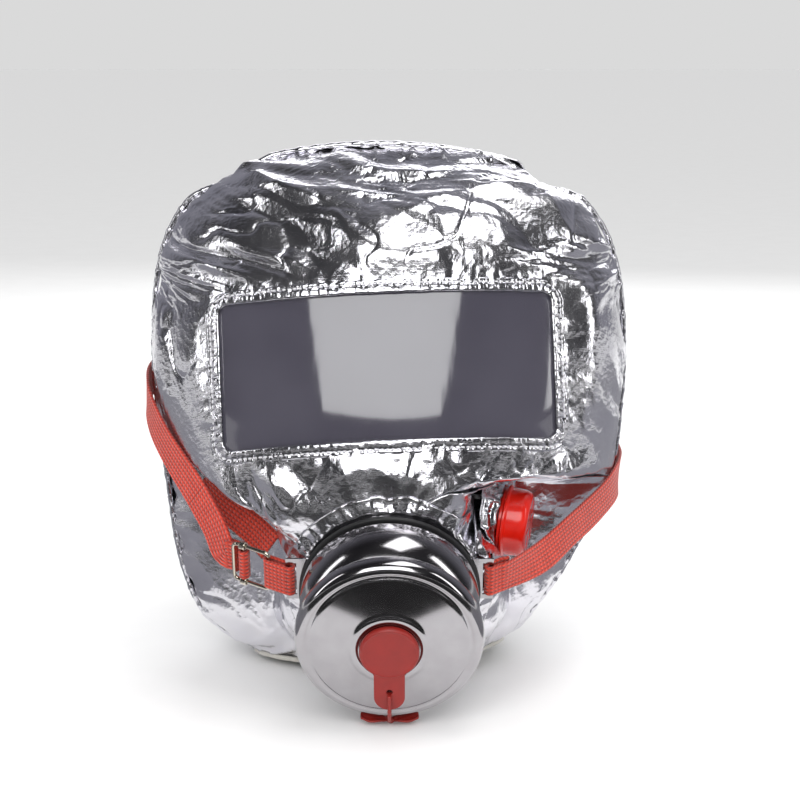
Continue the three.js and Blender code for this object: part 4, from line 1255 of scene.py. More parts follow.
# %% [markdown]
# ## Inlet plug and its pull cord
# A red rubber plug keeps the filter sealed until it is needed. Its head sits in the lid's boss, and
# a tab hangs from it with an eye for a red cord, which is tied in a bow under the lid's rim. Head
# and tab are moulded in one, so they are joined with a boolean and their edge is rounded.

# %% Inlet plug
PLUG_PROFILE = rounded_profile([
    (0.01, 57.6), (11.4, 57.6), (11.4, 50), (14.3, 50, 0.4), (14.3, 56.8), (16.6, 56.8, 0.3),
    (17, 58, 0.5), (17, 60.3, 0.9), (15.9, 61.4, 0.5), (15.2, 61.0, 0.4), (14.2, 60.9, 0.4),
    (0.01, 61.2),
])
TAB_HALF, TAB_LENGTH, TAB_LOW, TAB_HIGH = 8.8, 31.0, 58.2, 60.6
EYE_AT, EYE_RADIUS = 27.0, 1.9


def make_tab():
    outline = [(TAB_HALF, -9)]
    outline += [(TAB_HALF * math.cos(a), -TAB_LENGTH + TAB_HALF * math.sin(a))
                for a in np.linspace(0, -math.pi, 25)]
    outline += [(-TAB_HALF, -9)]
    insets = ((0.5, TAB_LOW), (0, TAB_LOW + 0.5), (0, TAB_HIGH - 0.6), (0.25, TAB_HIGH - 0.15),
              (0.7, TAB_HIGH))
    centre = np.array((0, -20.0))
    points = []
    for inset, z in insets:
        for x, y in outline:
            away = np.array((x, y)) - centre
            x, y = centre + away * (1 - inset / np.linalg.norm(away))
            points.append(put(CANISTER, x, y, z))
    count = len(outline)
    faces = grid_faces(len(insets), count, wrap_columns=True)
    faces.append(tuple(range(count))[::-1])
    faces.append(tuple(range(len(points) - count, len(points))))
    return as_object("plug_tab", points, faces, smooth=False)


def cut_or_join(piece, other, operation):
    step = piece.modifiers.new(operation.lower(), "BOOLEAN")
    step.operation, step.object, step.solver = operation, other, "EXACT"
    apply_modifiers(piece)
    bpy.data.objects.remove(other)
    return piece


def round_bar(radius, low, high, x, y, place, segments=32):
    profile = [(0.01, low), (radius, low), (radius, high), (0.01, high)]
    return turned("bar", profile, place @ Matrix.Translation(Vector((x, y, 0)) * MM), segments)


inlet_plug = turned("inlet_plug_rubber", PLUG_PROFILE, CANISTER, 96)
cut_or_join(inlet_plug, make_tab(), "UNION")
cut_or_join(inlet_plug, round_bar(EYE_RADIUS, 50, 70, 0, -EYE_AT, CANISTER), "DIFFERENCE")
inlet_plug.data.shade_smooth()
inlet_plug.data.set_sharp_from_angle(angle=math.radians(35))
finish_piece(inlet_plug, "inlet_plug", red_rubber, ["inlet_plug"])


# %% [markdown]
# The cord is a short one that shows from end to end, so its length is the length of its route: out
# of the eye, down the tab and over the lid's rim to the bow. A smooth curve runs through the
# route's points, and the tube round it swells and shrinks a little, as twisted strands do.

# %% Pull cord and bow
CORD_RADIUS = 1.1
CORD_ROUTE = [
    # up the canister's face, out of it
    (-28.5, 62.2), (-32, 62.1), (-36, 62.1), (-39.6, 62), (-42.8, 60.8),
    (-45.6, 58.8), (-48.4, 56.6), (-51.2, 54.6), (-54, 52.4), (-55.8, 50.4),
]


def catmull(points, per_span):
    points = [np.array(p, dtype=float) for p in points]
    ends = [2 * points[0] - points[1], *points, 2 * points[-1] - points[-2]]
    line = []
    for a, b, c, d in zip(ends, ends[1:], ends[2:], ends[3:]):
        for t in np.linspace(0, 1, per_span, endpoint=False):
            line.append(0.5 * (2 * b + (c - a) * t + (2 * a - 5 * b + 4 * c - d) * t ** 2
                               + (3 * b - a - 3 * c + d) * t ** 3))
    return np.array(line + [points[-1]])


def tube(name, line, radius, up, sides=14, closed=False):
    """A round tube along points in metres; radius may change along it."""
    radii = np.broadcast_to(radius, len(line))
    points = []
    for i, middle in enumerate(line):
        before = line[i - 1] if (closed or i) else line[0]
        after = line[(i + 1) % len(line)] if (closed or i + 1 < len(line)) else line[-1]
        way = Vector(after - before).normalized()
        side = way.cross(Vector(up)).normalized()
        over = side.cross(way)
        for j in range(sides):
            angle = 2 * math.pi * j / sides
            out = side * math.cos(angle) + over * math.sin(angle)
            points.append(Vector(middle) + out * radii[i] * MM)
    faces = grid_faces(len(line), sides, wrap_rows=closed, wrap_columns=True)
    if not closed:
        faces.append(tuple(range(sides))[::-1])
        faces.append(tuple(range(len(points) - sides, len(points))))
    return as_object(name, points, faces)


cord_line = np.array([put(CANISTER, 0, y, s) for y, s in catmull(CORD_ROUTE, 6)])
twist = 1 + 0.1 * np.sin(np.arange(len(cord_line)) * 1.1)
pull_cord = tube("pull_cord_line", cord_line, CORD_RADIUS * twist, axis_of(CANISTER, 1, 0, 0))
finish_piece(pull_cord, "inlet_plug", red_rubber, ["pull_cord"])


def on_rim(degrees, height, radius=57.2):
    angle = math.radians(degrees - 90)
    return put(CANISTER, radius * math.cos(angle), radius * math.sin(angle), height)


def make_bow():
    """Two wings of ribbon and the knot between them."""
    points, faces = [], []
    for side in (-1, 1):
        steps, across = 22, 7
        first = len(points)
        for i in range(steps):
            share = i / (steps - 1)
            wide = 1.4 + 2.2 * math.sin(min(share * 1.25, 1) * math.pi * 0.62)
            for j in range(across):
                over = j / (across - 1) * 2 - 1
                crease = 0.55 * math.cos(over * math.pi) + 0.35 * math.sin(share * 9 + over * 2)
                middle = 47 + over * wide + 0.8 * math.sin(share * 3)
                points.append(on_rim(side * (0.8 + 16.2 * share), middle,
                                     57.1 + crease * min(share * 4, 1)))
        for i in range(steps - 1):
            for j in range(across - 1):
                a = first + i * across + j
                quad = (a, a + 1, a + across + 1, a + across)
                faces.append(quad if side > 0 else quad[::-1])
    wings = as_object("pull_bow_ribbon", points, faces)
    thicken(wings, 0.9 * MM, offset=0)
    knot_line = [on_rim(d, 47 + 0.8 * math.sin(d * 1.2), 57.4) for d in np.linspace(-2.6, 2.6, 13)]
    knot_size = 2.1 * np.sqrt(np.clip(1 - np.linspace(-1, 1, 13) ** 2, 0.06, 1))
    knot = tube("knot", np.array(knot_line), knot_size, (0, 0, 1))
    cut_or_join(wings, knot, "UNION")
    return finish_piece(wings, "inlet_plug", red_rubber, ["pull_bow"])


pull_bow = make_bow()


# %% [markdown]
# ## Webbing
# The strap is polyester webbing, 20 mm wide and 1.5 mm thick. Seen close it is a row of ribs that
# run along it, each a twisted bundle of yarn, so the weave shows as short slanting stitches. The
# real ribs are 1.2 mm apart, drawn at 2.5 mm so that they show. The pattern reads the cloth
# coordinate of the ribbon: millimetres along, across and through.

# %% Webbing finish
RIB_SPACING = 2.5
YARN_LENGTH = 2.6

webbing, tree, shader = new_material("woven polyester webbing", Roughness=0.78, Sheen_Weight=0.25)
cloth = add_node(tree, "ShaderNodeAttribute", {"attribute_name": "cloth"})
parts = add_node(tree, "ShaderNodeSeparateXYZ", inputs={"Vector": cloth.outputs["Vector"]})
rib = add_node(tree, "ShaderNodeMath", {"operation": "MULTIPLY"},
               {0: parts.outputs["Y"], 1: math.pi / RIB_SPACING})
rib_height = add_node(tree, "ShaderNodeMath", {"operation": "SINE"}, {0: rib.outputs["Value"]})
rib_round = add_node(tree, "ShaderNodeMath", {"operation": "ABSOLUTE"},
                     {0: rib_height.outputs["Value"]})
slant = add_node(tree, "ShaderNodeMath", {"operation": "MULTIPLY_ADD"},
                 {0: rib_round.outputs["Value"], 1: 1.4, 2: parts.outputs["X"]})
yarn = add_node(tree, "ShaderNodeMath", {"operation": "MULTIPLY"},
                {0: slant.outputs["Value"], 1: 2 * math.pi / YARN_LENGTH})
yarn_height = add_node(tree, "ShaderNodeMath", {"operation": "SINE"}, {0: yarn.outputs["Value"]})
relief = add_node(tree, "ShaderNodeMath", {"operation": "MULTIPLY_ADD"},
                  {0: yarn_height.outputs["Value"], 1: 0.35, 2: rib_round.outputs["Value"]})
place = millimetres(tree)
fade = add_node(tree, "ShaderNodeTexNoise", inputs={"Vector": place, "Scale": 1 / 7, "Detail": 4.0})
shade = add_node(tree, "ShaderNodeMath", {"operation": "MULTIPLY_ADD"},
                 {0: fade.outputs["Fac"], 1: 0.5, 2: -0.25})
# The colour follows the relief: rib crests lighter and the grooves between ribs and yarns darker, which
# is painted shade; the fade noise adds random tone.
rib_shade_and_tone = add_node(tree, "ShaderNodeMath", {"operation": "MULTIPLY_ADD"},
                     {0: relief.outputs["Value"], 1: 0.75, 2: shade.outputs["Value"]})
colour = add_node(tree, "ShaderNodeMix", {"data_type": "RGBA"}, {
    "Factor": rib_shade_and_tone.outputs["Value"], "A": linear("#861608"), "B": linear("#d63e25")})
bump = add_node(tree, "ShaderNodeBump", inputs={
    "Height": relief.outputs["Value"], "Strength": 1.0, "Distance": 0.5 * MM})
tree.links.new(colour.outputs["Result"], shader.inputs["Base Color"])
tree.links.new(bump.outputs["Normal"], shader.inputs["Normal"])


# %% Ribbon tool
STRAP_WIDE, STRAP_THICK = 20.0, 1.5


def ribbon(name, centres, outs, wide=STRAP_WIDE, thick=STRAP_THICK, wander=0.25, start_at=0.0):
    """A flat strap along points in mm; outs are the directions its face looks in."""
    centres, outs = np.asarray(centres, dtype=float), np.asarray(outs, dtype=float)
    way = np.gradient(centres, axis=0)
    way /= np.linalg.norm(way, axis=1, keepdims=True)
    across = np.cross(outs, way)
    across /= np.linalg.norm(across, axis=1, keepdims=True)
    through = np.cross(way, across)
    length = np.concatenate([[0], np.cumsum(np.linalg.norm(np.diff(centres, axis=0), axis=1))])
    length += start_at
    half = wide / 2
    section = [(s, 1) for s in np.linspace(-half + 0.5, half - 0.5, 17)]
    section += [(half, 0.45), (half, -0.45)]
    section += [(s, -1) for s in np.linspace(half - 0.5, -half + 0.5, 17)]
    section += [(-half, -0.45), (-half, 0.45)]
    points, cloth = [], []
    for i, centre in enumerate(centres):
        for side, level in section:
            wave = wander * wobble(length[i] / 26, side / 14, 9)
            edge = 0.12 * wobble(length[i] / 5, side / 20, 1)
            points.append((centre + across[i] * (side * (1 + edge * 0.05))
                           + through[i] * (level * thick / 2 + wave)) * MM)
            cloth.append((length[i], side + half, level))
    rows, columns = len(centres), len(section)
    faces = grid_faces(rows, columns, wrap_columns=True)
    faces = [face[::-1] for face in faces]
    faces.append(tuple(range(columns)))
    faces.append(tuple(range(rows * columns - columns, rows * columns))[::-1])
    return as_object(name, points, faces, cloth)


def resample(centres, outs, spacing):
    centres, outs = np.asarray(centres, dtype=float), np.asarray(outs, dtype=float)
    length = np.concatenate([[0], np.cumsum(np.linalg.norm(np.diff(centres, axis=0), axis=1))])
    places = np.linspace(0, length[-1], int(length[-1] / spacing) + 1)
    def at(values):
        return np.stack([np.interp(places, length, values[:, k]) for k in range(3)], axis=1)
    new_outs = at(outs)
    return at(centres), new_outs / np.linalg.norm(new_outs, axis=1, keepdims=True)


# %% [markdown]
# ## Strap frames
# Near the canister the strap turns round the ears of the clamp. A strap frame has X along the
# webbing, Y across it and Z out of its face, which makes those turns easy to draw.

# %% Strap frames
def strap_frame(origin, towards, across):
    across = Vector(across).normalized()
    along = Vector(towards) - Vector(origin)
    along = (along - across * along.dot(across)).normalized()
    out = along.cross(across)
    turn = Matrix((along, across, out)).transposed()
    return place_at(*origin, turn)


def from_canister(x, y, s):
    return tuple(put(CANISTER, x, y, s) / MM)


EAR_BAR_X, EAR_Y = (57.8 + 60.4) / 2, 9
FACE_UP = axis_of(CANISTER, 0, 1, 0)
LEFT_LOOP = strap_frame(from_canister(-EAR_BAR_X, EAR_Y, 0.2), (-71.5, -117, 60), -FACE_UP)
LOOP_INNER, LOOP_LENGTH = 1.9, 13.0
BUCKLE = strap_frame(tuple(put(LEFT_LOOP, LOOP_LENGTH, 0, 0) / MM), (-92, -106, 64), -FACE_UP)
RIGHT_LOOP = strap_frame(from_canister(EAR_BAR_X, EAR_Y, 0.2), (76, -112, 60.5), FACE_UP)


def in_frame(place, points):
    """Points (x, z) of a strap frame as centres in mm, with the outs left for turned_outs."""
    return np.array([tuple(put(place, x, 0, z) / MM) for x, z in points])


def outs_of(place, centres):
    """The face directions of a path that bends only in its strap frame's X-Z plane."""
    across = np.array(axis_of(place, 0, 1, 0))
    way = np.gradient(centres, axis=0)
    out = np.cross(way, across)
    return out / np.linalg.norm(out, axis=1, keepdims=True)


def half_turn(x, z, radius, start, end, steps=12):
    return [(x + radius * math.cos(a), z + radius * math.sin(a))
            for a in np.linspace(math.radians(start), math.radians(end), steps)]


# %% Head strap
BEND_FROM = (-113.5, -91, 103)  # below here the strap is a separate piece, the head strap's lower end


def make_head_strap():
    middle = LOOP_INNER + STRAP_THICK / 2
    path = [(13.5, -1.0), (11, -1.6), (8, -middle)] + half_turn(-1.1, 0, middle, 270, 90)
    path += [(5, middle), (10, middle + 0.2)]
    start = in_frame(RIGHT_LOOP, path)
    start_outs = outs_of(RIGHT_LOOP, start)
    stations = list(HEAD_STRAP)
    buckle_out = np.array(axis_of(BUCKLE, 0, 0, 1))
    end = in_frame(BUCKLE, [(34, -3.0), (29, -2.9), (24.6, -2.8)])
    bend = [beside_hood(-110.5, -94, 94.5, -0.68, -0.70, 0.12),
            beside_hood(-104.6, -98.2, 84.5, -0.6, -0.78, 0.0),
            beside_hood(-101.2, -99.8, 76.0, -0.54, -0.81, -0.15)]
    centres = np.concatenate([start, [s[0] for s in stations], [s[0] for s in bend], end])
    outs = np.concatenate([start_outs, [s[1] for s in stations], [s[1] for s in bend],
                           [buckle_out] * len(end)])
    line, outs_line = catmull(centres, 8), catmull(outs, 8)
    line, outs_line = resample(line, outs_line, 1.1)
    steps = np.linalg.norm(np.diff(line, axis=0), axis=1)
    cut = int(np.linalg.norm(line - BEND_FROM, axis=1).argmin())
    fixed = ribbon("head_strap_webbing", line[:cut + 1], outs_line[:cut + 1], wander=0.35)
    finish_piece(fixed, "hood", webbing, ["head_strap"])
    loose = ribbon("head_strap_lower_end", line[cut:], outs_line[cut:], wander=0.35,
                   start_at=steps[:cut].sum())
    loose.data.materials.append(webbing)
    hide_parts("head_strap")
    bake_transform(loose)
    print("head strap:", round(float(steps.sum())), "mm of webbing")


make_head_strap()


# %% Anchor loop and strap end
def make_anchor_loop():
    middle = LOOP_INNER + STRAP_THICK / 2
    path = half_turn(-1.1, 0, middle, 90, 270) + half_turn(LOOP_LENGTH, 0, middle, -90, 90)
    path += [(6, middle + 0.05), (-0.8, middle + 0.1)]
    centres = in_frame(LEFT_LOOP, path)
    line = catmull(centres, 5)
    outs = outs_of(LEFT_LOOP, line)
    line, outs = resample(line, outs, 0.7)
    piece = ribbon("anchor_webbing", line, outs, thick=STRAP_THICK - 0.15, wander=0.1, start_at=300)
    finish_piece(piece, "hood", webbing, ["left_anchor_loop"])


BAR_AT = 18.0


def make_strap_end():
    """The strap's end: round the sliding bar, behind the frame's far wire and back as a tail."""
    path = [(33, -4.5), (27, -4.3), (23.5, -3.6), (21.6, -1.6), (20.2, 0.8), (18.8, 2.2),
            (17.0, 2.2), (15.7, 1.0), (15.4, -1.0), (16.4, -3.2), (19.0, -5.0), (23, -6.3), (29, -6.6),
            (35, -6.6)]
    centres = in_frame(BUCKLE, path)
    line = catmull(centres, 6)
    outs = outs_of(BUCKLE, line)
    line, outs = resample(line, outs, 0.7)
    piece = ribbon("strap_end_webbing", line, outs, wide=19.2, thick=1.2, wander=0.12, start_at=480)
    finish_piece(piece, "buckle_bar", webbing, ["strap_turn"])


def make_lower_layer():
    """The strap is doubled above the buckle: a second layer runs behind it to the clamp's ear."""
    centres = np.array([(-114, -82, 107), (-103, -84, 96), (-90, -88, 86.5), (-79, -94, 79),
                        (-70.5, -102, 72.5)], dtype=float)
    outs = np.array([(-0.72, -0.69, 0.1), (-0.62, -0.78, 0.1), (-0.5, -0.85, 0.15), (-0.42, -0.88, 0.2),
                     (-0.36, -0.9, 0.25)])
    line, outs = resample(catmull(centres, 8), catmull(outs, 8), 1.0)
    piece = ribbon("strap_lower_layer", line, outs, wide=18.5, thick=1.3, wander=0.5, start_at=700)
    finish_piece(piece, "hood", webbing)


make_anchor_loop()
make_strap_end()
make_lower_layer()


# %% [markdown]
# ## Buckle
# The buckle is a loop of plated wire with a bar that slides along it, so the strap can be drawn
# tight. The loop is a tube round a rectangle with soft corners; the bar has an eye at each end that
# runs on the rails.

# %% Buckle
BUCKLE_LENGTH, BUCKLE_WIDE, WIRE, WIRE_CORNER = 25.0, 25.0, 1.2, 3.0


def make_buckle_frame():
    line = []
    half = BUCKLE_WIDE / 2 - WIRE_CORNER
    for x, y, start in ((BUCKLE_LENGTH - WIRE_CORNER, half, 0), (WIRE_CORNER, half, 90),
                        (WIRE_CORNER, -half, 180), (BUCKLE_LENGTH - WIRE_CORNER, -half, 270)):
        for turn in np.linspace(0, 90, 9):
            angle = math.radians(start + turn)
            line.append((x + WIRE_CORNER * math.cos(angle), y + WIRE_CORNER * math.sin(angle), 0))
    line = np.array([BUCKLE @ (Vector(p) * MM) for p in line])
    piece = tube("buckle_wire", line, WIRE, axis_of(BUCKLE, 0, 0, 1), sides=20, closed=True)
    finish_piece(piece, "buckle_frame", nickel, ["buckle_frame"])


def make_buckle_bar():
    lie = Matrix.Rotation(math.radians(90), 4, "X")
    rod = round_bar(1.1, -BUCKLE_WIDE / 2 + 1.7, BUCKLE_WIDE / 2 - 1.7, 0, 0,
                    BUCKLE @ Matrix.Translation(Vector((BAR_AT, 0, 0)) * MM) @ lie)
    eye_profile = rounded_profile([(1.6, -2, 0.3), (2.6, -2, 0.6), (2.6, 2, 0.6), (1.6, 2, 0.3)])
    for side in (-1, 1):
        at = Matrix.Translation(Vector((BAR_AT, side * BUCKLE_WIDE / 2, 0)) * MM)
        eye = turned("eye", eye_profile, BUCKLE @ at @ Matrix.Rotation(math.radians(90), 4, "Y"), 40)
        cut_or_join(rod, eye, "UNION")
    rod.name = "buckle_sliding_bar"
    rod.data.shade_smooth()
    rod.data.set_sharp_from_angle(angle=math.radians(40))
    finish_piece(rod, "buckle_bar", nickel, ["buckle_bar"])


make_buckle_frame()
make_buckle_bar()


# %% [markdown]
# ## Exhalation valve
# Breath leaves through a flap under a slotted cap on the cheek. The cap is a glossy moulding with
# rounded shoulders; the slots are cut with a boolean, as a mould's cores would leave them. A foil
# patch closes the hole in the chin panel round it.

# %% Valve
CAP_PROFILE = rounded_profile([
    (18.9, 2.6), (22.3, 2.6, 0.4), (22.3, 4.2, 0.6), (20.8, 4.9, 0.4), (20.2, 14, 2.0),
    (18.8, 16.6, 1.6), (16.4, 17.6, 1.4), (0.01, 17.6), (0.01, 16), (15.8, 16), (18.5, 13.4),
], steps=7)


def make_cap():
    cap = turned("valve_cap_moulding", CAP_PROFILE, VALVE, 96)
    for i in range(6):
        bpy.ops.mesh.primitive_cube_add(size=1)
        core = bpy.context.object
        turn = VALVE @ Matrix.Rotation(math.radians(60 * i), 4, "Z")
        core.matrix_world = turn @ Matrix.Translation(Vector((0, 10.5, 17)) * MM) @ Matrix.Diagonal(
            (2.6 * MM, 8 * MM, 6 * MM, 1))
        core.data.transform(core.matrix_world)
        core.matrix_world = Matrix.Identity(4)
        cut_or_join(cap, core, "DIFFERENCE")
    cap.data.shade_smooth()
    cap.data.set_sharp_from_angle(angle=math.radians(35))
    finish_piece(cap, "hood", red_plastic, ["valve_cap"])


def make_patch():
    count, radii = 240, np.linspace(15.6, 31, 14)
    points = []
    for radius in radii:
        for i in range(count):
            a = 2 * math.pi * i / count
            x, y = radius * math.cos(a), radius * math.sin(a)
            gather = round_wobble(a, 5, radius / 30)
            settle = smooth_step(radius, 23, 31)
            height = -0.7 + gather * 1.2 * smooth_step(radius, 17, 24)
            rest = dropped([chin_surface], VALVE, x, y, 0.5, start=12)
            if rest is not None:
                settled = min(((VALVE.inverted() @ rest) / MM).z, 4)
                height += (settled - height) * settle * 0.7
            points.append(put(VALVE, x, y, height))
    piece = as_object("valve_patch_foil", points, grid_faces(len(radii), count, wrap_columns=True))
    area = sum(face.area for face in piece.data.polygons)
    thicken(piece, 0.5 * MM)
    return finish_piece(piece, "hood", [foil], ["valve_patch"]), area


make_cap()
valve_patch, patch_area = make_patch()
lock_ring = turned("valve_lock_ring_moulding", rounded_profile(
    [(15.5, 0.2), (20, 0.2, 0.5), (20, 2.2, 0.5), (15.5, 2.2)]), VALVE, 64)
finish_piece(lock_ring, "hood", red_plastic, ["valve_lock_ring"])
flap = turned("valve_flap_silicone", rounded_profile(
    [(0.01, 0.4), (2.4, 0.4, 0.3), (2.4, 1.6), (1.4, 1.6), (1.4, 6.4), (14, 6.4, 0.3), (14, 7.2, 0.3),
     (0.01, 7.2)]), VALVE, 64)
finish_piece(flap, "valve_flap", flap_silicone, ["valve_flap"])


# %% [markdown]
# ## Nose cup
# A soft cup inside the hood keeps used breath out of the visor. Its sections grow from a ring at
# the canister's neck to an oval that covers nose and mouth, narrower at the nose. Four sections
# are given, and a smooth curve makes the rest.

# %% Nose cup
CUP_ROWS = np.array([
    # along the axis, half width, top, foot, narrowing
    (-5.4, 33, 33, 33, 0), (-12, 43, 54, 39, 0.12), (-28, 50, 74, 44, 0.22), (-44, 53, 81, 47, 0.26),
], dtype=float)


def make_nose_cup():
    count, rows = 96, catmull(CUP_ROWS, 10)
    flange = [(-4.3, 21, 21, 21, 0), (-4.3, 28, 28, 28, 0)]
    rows = np.concatenate([flange, rows])
    points = []
    for s, half, top, foot, narrow in rows:
        for i in range(count):
            a = 2 * math.pi * i / count
            up = math.cos(a)
            x = half * math.sin(a) * (1 - narrow * up)
            y = top * up if up > 0 else foot * up
            points.append(put(CANISTER, x, y, s - 42 * max(0, up) * narrow))
    piece = as_object("nose_cup_silicone", points, grid_faces(len(rows), count, wrap_columns=True))
    thicken(piece, 1.8 * MM, offset=1.0)
    finish_piece(piece, "hood", silicone, ["nose_cup"])


make_nose_cup()


# %% [markdown]
# ## Plugs and fittings inside
# The outlet plug keeps the filter sealed from the inside until use; a bridge across its face is
# pulled out with a finger. The lock nut clamps the neck.

# %% Inside fittings
outlet_plug = turned("outlet_plug_rubber", rounded_profile([
    (0.01, -17.4), (13.4, -17.4), (13.4, -9, 0.4), (16.7, -9, 0.6), (16.7, -16.3), (19.4, -16.3, 0.6),
    (19.4, -19.6, 0.9), (0.01, -19.6)]), CANISTER, 72)
bridge_line = np.array([put(CANISTER, x, 0, s) for x, s in catmull(
    [(-5, -19), (-4.6, -22), (-3, -24.6), (0, -25.4), (3, -24.6), (4.6, -22), (5, -19)], 5)])
bridge = tube("bridge", bridge_line, 1.4, axis_of(CANISTER, 0, 1, 0))
cut_or_join(outlet_plug, bridge, "UNION")
outlet_plug.data.set_sharp_from_angle(angle=math.radians(40))
finish_piece(outlet_plug, "outlet_plug", red_rubber, ["outlet_plug"])


def ribbed(angle, radius, height):
    """Grip ribs round the nut's outside."""
    return (radius + (0.6 * math.cos(angle * 36) if radius > 30 else 0), height)


lock_nut = turned("lock_nut_moulding", rounded_profile(
    [(20.1, -9.8), (30.6, -9.8, 0.6), (30.6, -5.8, 0.6), (20.1, -5.8)]), CANISTER, 288, bend=ribbed)
finish_piece(lock_nut, "hood", nylon, ["lock_nut"])


# %% [markdown]
# ## Parts that keep the model's shape
# The clamp, the grilles, the filter beds and the valve seats have the right shape already. They
# only take their finish, so each gets its material in its own slots.

# %% Carried-over parts
KEPT_FINISHES = {
    "strap_ring": steel, "retaining_spring": nickel, "front_grille": sheet_steel,
    "rear_grille": sheet_steel, "smoke_filter": filter_paper, "dust_felt": felt,
    "carbon_bed": charcoal, "catalyst_bed": catalyst, "drier_bed": drier, "inhale_seat": nylon,
    "inhale_flap": flap_silicone, "valve_seat": red_plastic,
}
for node, finish in KEPT_FINISHES.items():
    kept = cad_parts[node]
    kept.data.materials.clear()
    kept.data.materials.append(finish)
print("kept parts:", ", ".join(sorted(KEPT_FINISHES)))


# %% [markdown]
# ## What is cloth, and how it was cut
# ## Cloth areas
# A crumpled panel has the same cloth in it as a smooth one, so the areas are those measured from
# the folded mesh.


# %% [markdown]
# ## Light
# Foil and steel show only what they mirror, so the light is built as things to be mirrored: one
# broad soft box in front and above, a strip at each side, one over the crown and one behind, with
# darkness between them. Dark gaps are what make metal look like metal. The camera sees a plain pale
# backdrop instead of that darkness. Black and grey cards on the floor, which only reflections see,
# keep the white floor from washing out the foil and the lid.

# %% Lamps
def soft_box(name, azimuth, rise, distance, width, height, radiance, target=(0, -30, 140)):
    """An area lamp that is seen only in reflections. Its power follows from its brightness."""
    lamp_data = bpy.data.lights.new(name, "AREA")
    lamp_data.shape = "RECTANGLE"
    lamp_data.size, lamp_data.size_y = width, height
    lamp_data.energy = radiance * width * height * math.pi
    lamp = bpy.data.objects.new(name, lamp_data)
    lamp.visible_camera = False
    bpy.context.scene.collection.objects.link(lamp)
    a, e = math.radians(azimuth), math.radians(rise)
    way = Vector((math.sin(a) * math.cos(e), -math.cos(a) * math.cos(e), math.sin(e)))
    lamp.location = Vector(target) * MM + way * distance
    lamp.rotation_euler = way.to_track_quat("Z", "Y").to_euler()
    return lamp


soft_box("front_soft_box", -3, 31, 2.0, 1.7, 1.1, 3.9)
soft_box("left_strip", -76, 22, 1.8, 0.22, 1.2, 3.5)
soft_box("right_strip", 70, 22, 1.8, 0.3, 1.3, 3.5)
soft_box("top_soft_box", 55, 74, 1.7, 1.1, 0.7, 3.0)
soft_box("back_soft_box", 170, 30, 2.0, 1.6, 1.2, 2.4)
bpy.context.scene.view_settings.view_transform = "Standard"


# %% Room
world = bpy.data.worlds.new("studio")
bpy.context.scene.world = world
world.use_nodes = True
sky = world.node_tree
sky.nodes.clear()
direction = add_node(sky, "ShaderNodeTexCoord")
toward = add_node(sky, "ShaderNodeSeparateXYZ", inputs={"Vector": direction.outputs["Generated"]})
behind = add_node(sky, "ShaderNodeMapRange", {"interpolation_type": "SMOOTHSTEP"},
                  {"Value": toward.outputs["Y"], "From Min": -0.05, "From Max": 0.7,
                   "To Min": 0.02, "To Max": 0.3})
room = add_node(sky, "ShaderNodeBackground", inputs={
    "Color": linear("#e2e2f0"), "Strength": behind.outputs["Result"]})
backdrop = add_node(sky, "ShaderNodeBackground", inputs={"Color": linear("#f2f2f2"), "Strength": 1.0})
wall = add_node(sky, "ShaderNodeBackground", inputs={"Color": linear("#dadada"), "Strength": 1.0})
ray = add_node(sky, "ShaderNodeLightPath")
lit = add_node(sky, "ShaderNodeMixShader", inputs={0: ray.outputs["Is Glossy Ray"],
                                                   1: backdrop.outputs["Background"],
                                                   2: room.outputs["Background"]})
seen = add_node(sky, "ShaderNodeMixShader", inputs={0: ray.outputs["Is Camera Ray"],
                                                    1: lit.outputs["Shader"],
                                                    2: wall.outputs["Background"]})
add_node(sky, "ShaderNodeOutputWorld", inputs={"Surface": seen.outputs["Shader"]})


# %% Floor and flags
CARD_RISE = 0.002  # metres above the floor


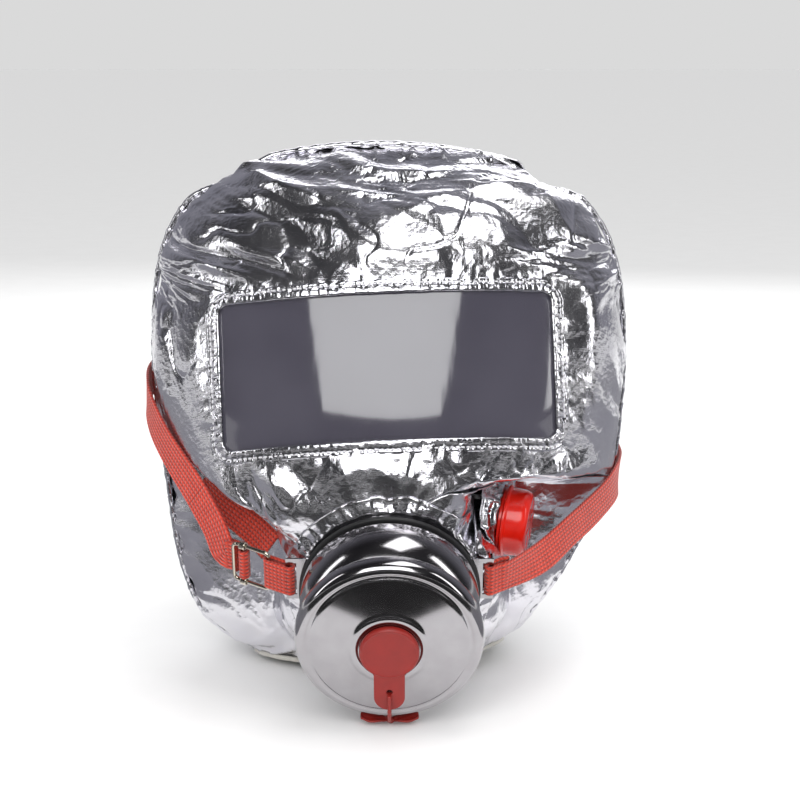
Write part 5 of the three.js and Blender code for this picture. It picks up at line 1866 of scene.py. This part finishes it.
def flat_sheet(name, x0, y0, x1, y1):
    return as_object(name, [(x0, y0, 0), (x1, y0, 0), (x1, y1, 0), (x0, y1, 0)], [(0, 1, 2, 3)],
                     smooth=False)


low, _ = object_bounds()
floor = flat_sheet("floor", -60, -60, 60, 60)
floor.location = (0, 0, low[2] - 0.0005)
floor_finish, tree, shader = new_material("matt studio paper", Roughness=0.9)
grain = add_node(tree, "ShaderNodeTexNoise", inputs={"Vector": millimetres(tree), "Scale": 0.02})
paper = add_node(tree, "ShaderNodeMix", {"data_type": "RGBA"}, {
    "Factor": grain.outputs["Fac"], "A": linear("#e9e9e9"), "B": linear("#eeeeee")})
tree.links.new(paper.outputs["Result"], shader.inputs["Base Color"])
floor.data.materials.append(floor_finish)

black_cloth, tree, shader = new_material("black flag cloth", Roughness=0.95)
nap = add_node(tree, "ShaderNodeTexNoise", inputs={"Vector": millimetres(tree), "Scale": 0.2})
dye = add_node(tree, "ShaderNodeMix", {"data_type": "RGBA"}, {
    "Factor": nap.outputs["Fac"], "A": linear("#0a0a0b"), "B": linear("#131314")})
tree.links.new(dye.outputs["Result"], shader.inputs["Base Color"])

grey_card, tree, shader = new_material("grey card", Roughness=0.9)
fibre = add_node(tree, "ShaderNodeTexNoise", inputs={"Vector": millimetres(tree), "Scale": 0.1})
tone = add_node(tree, "ShaderNodeMix", {"data_type": "RGBA"}, {
    "Factor": fibre.outputs["Fac"], "A": linear("#6c6c72"), "B": linear("#7c7c82")})
tree.links.new(tone.outputs["Result"], shader.inputs["Base Color"])


def flag(name, x0, x1, y0, y1, finish):
    """A card just over the floor that only reflections see."""
    card = flat_sheet(name, x0, y0, x1, y1)
    card.location = (0, 0, floor.location.z + CARD_RISE)
    card.data.materials.append(finish)
    card.visible_camera = card.visible_diffuse = card.visible_shadow = False
    return card


front_flag = flag("front_flag", -1.6, 1.6, -3.5, -0.26, black_cloth)
left_card = flag("left_card", -1.6, -0.17, -0.255, 0.9, grey_card)
right_card = flag("right_card", 0.16, 1.6, -0.255, 0.9, grey_card)
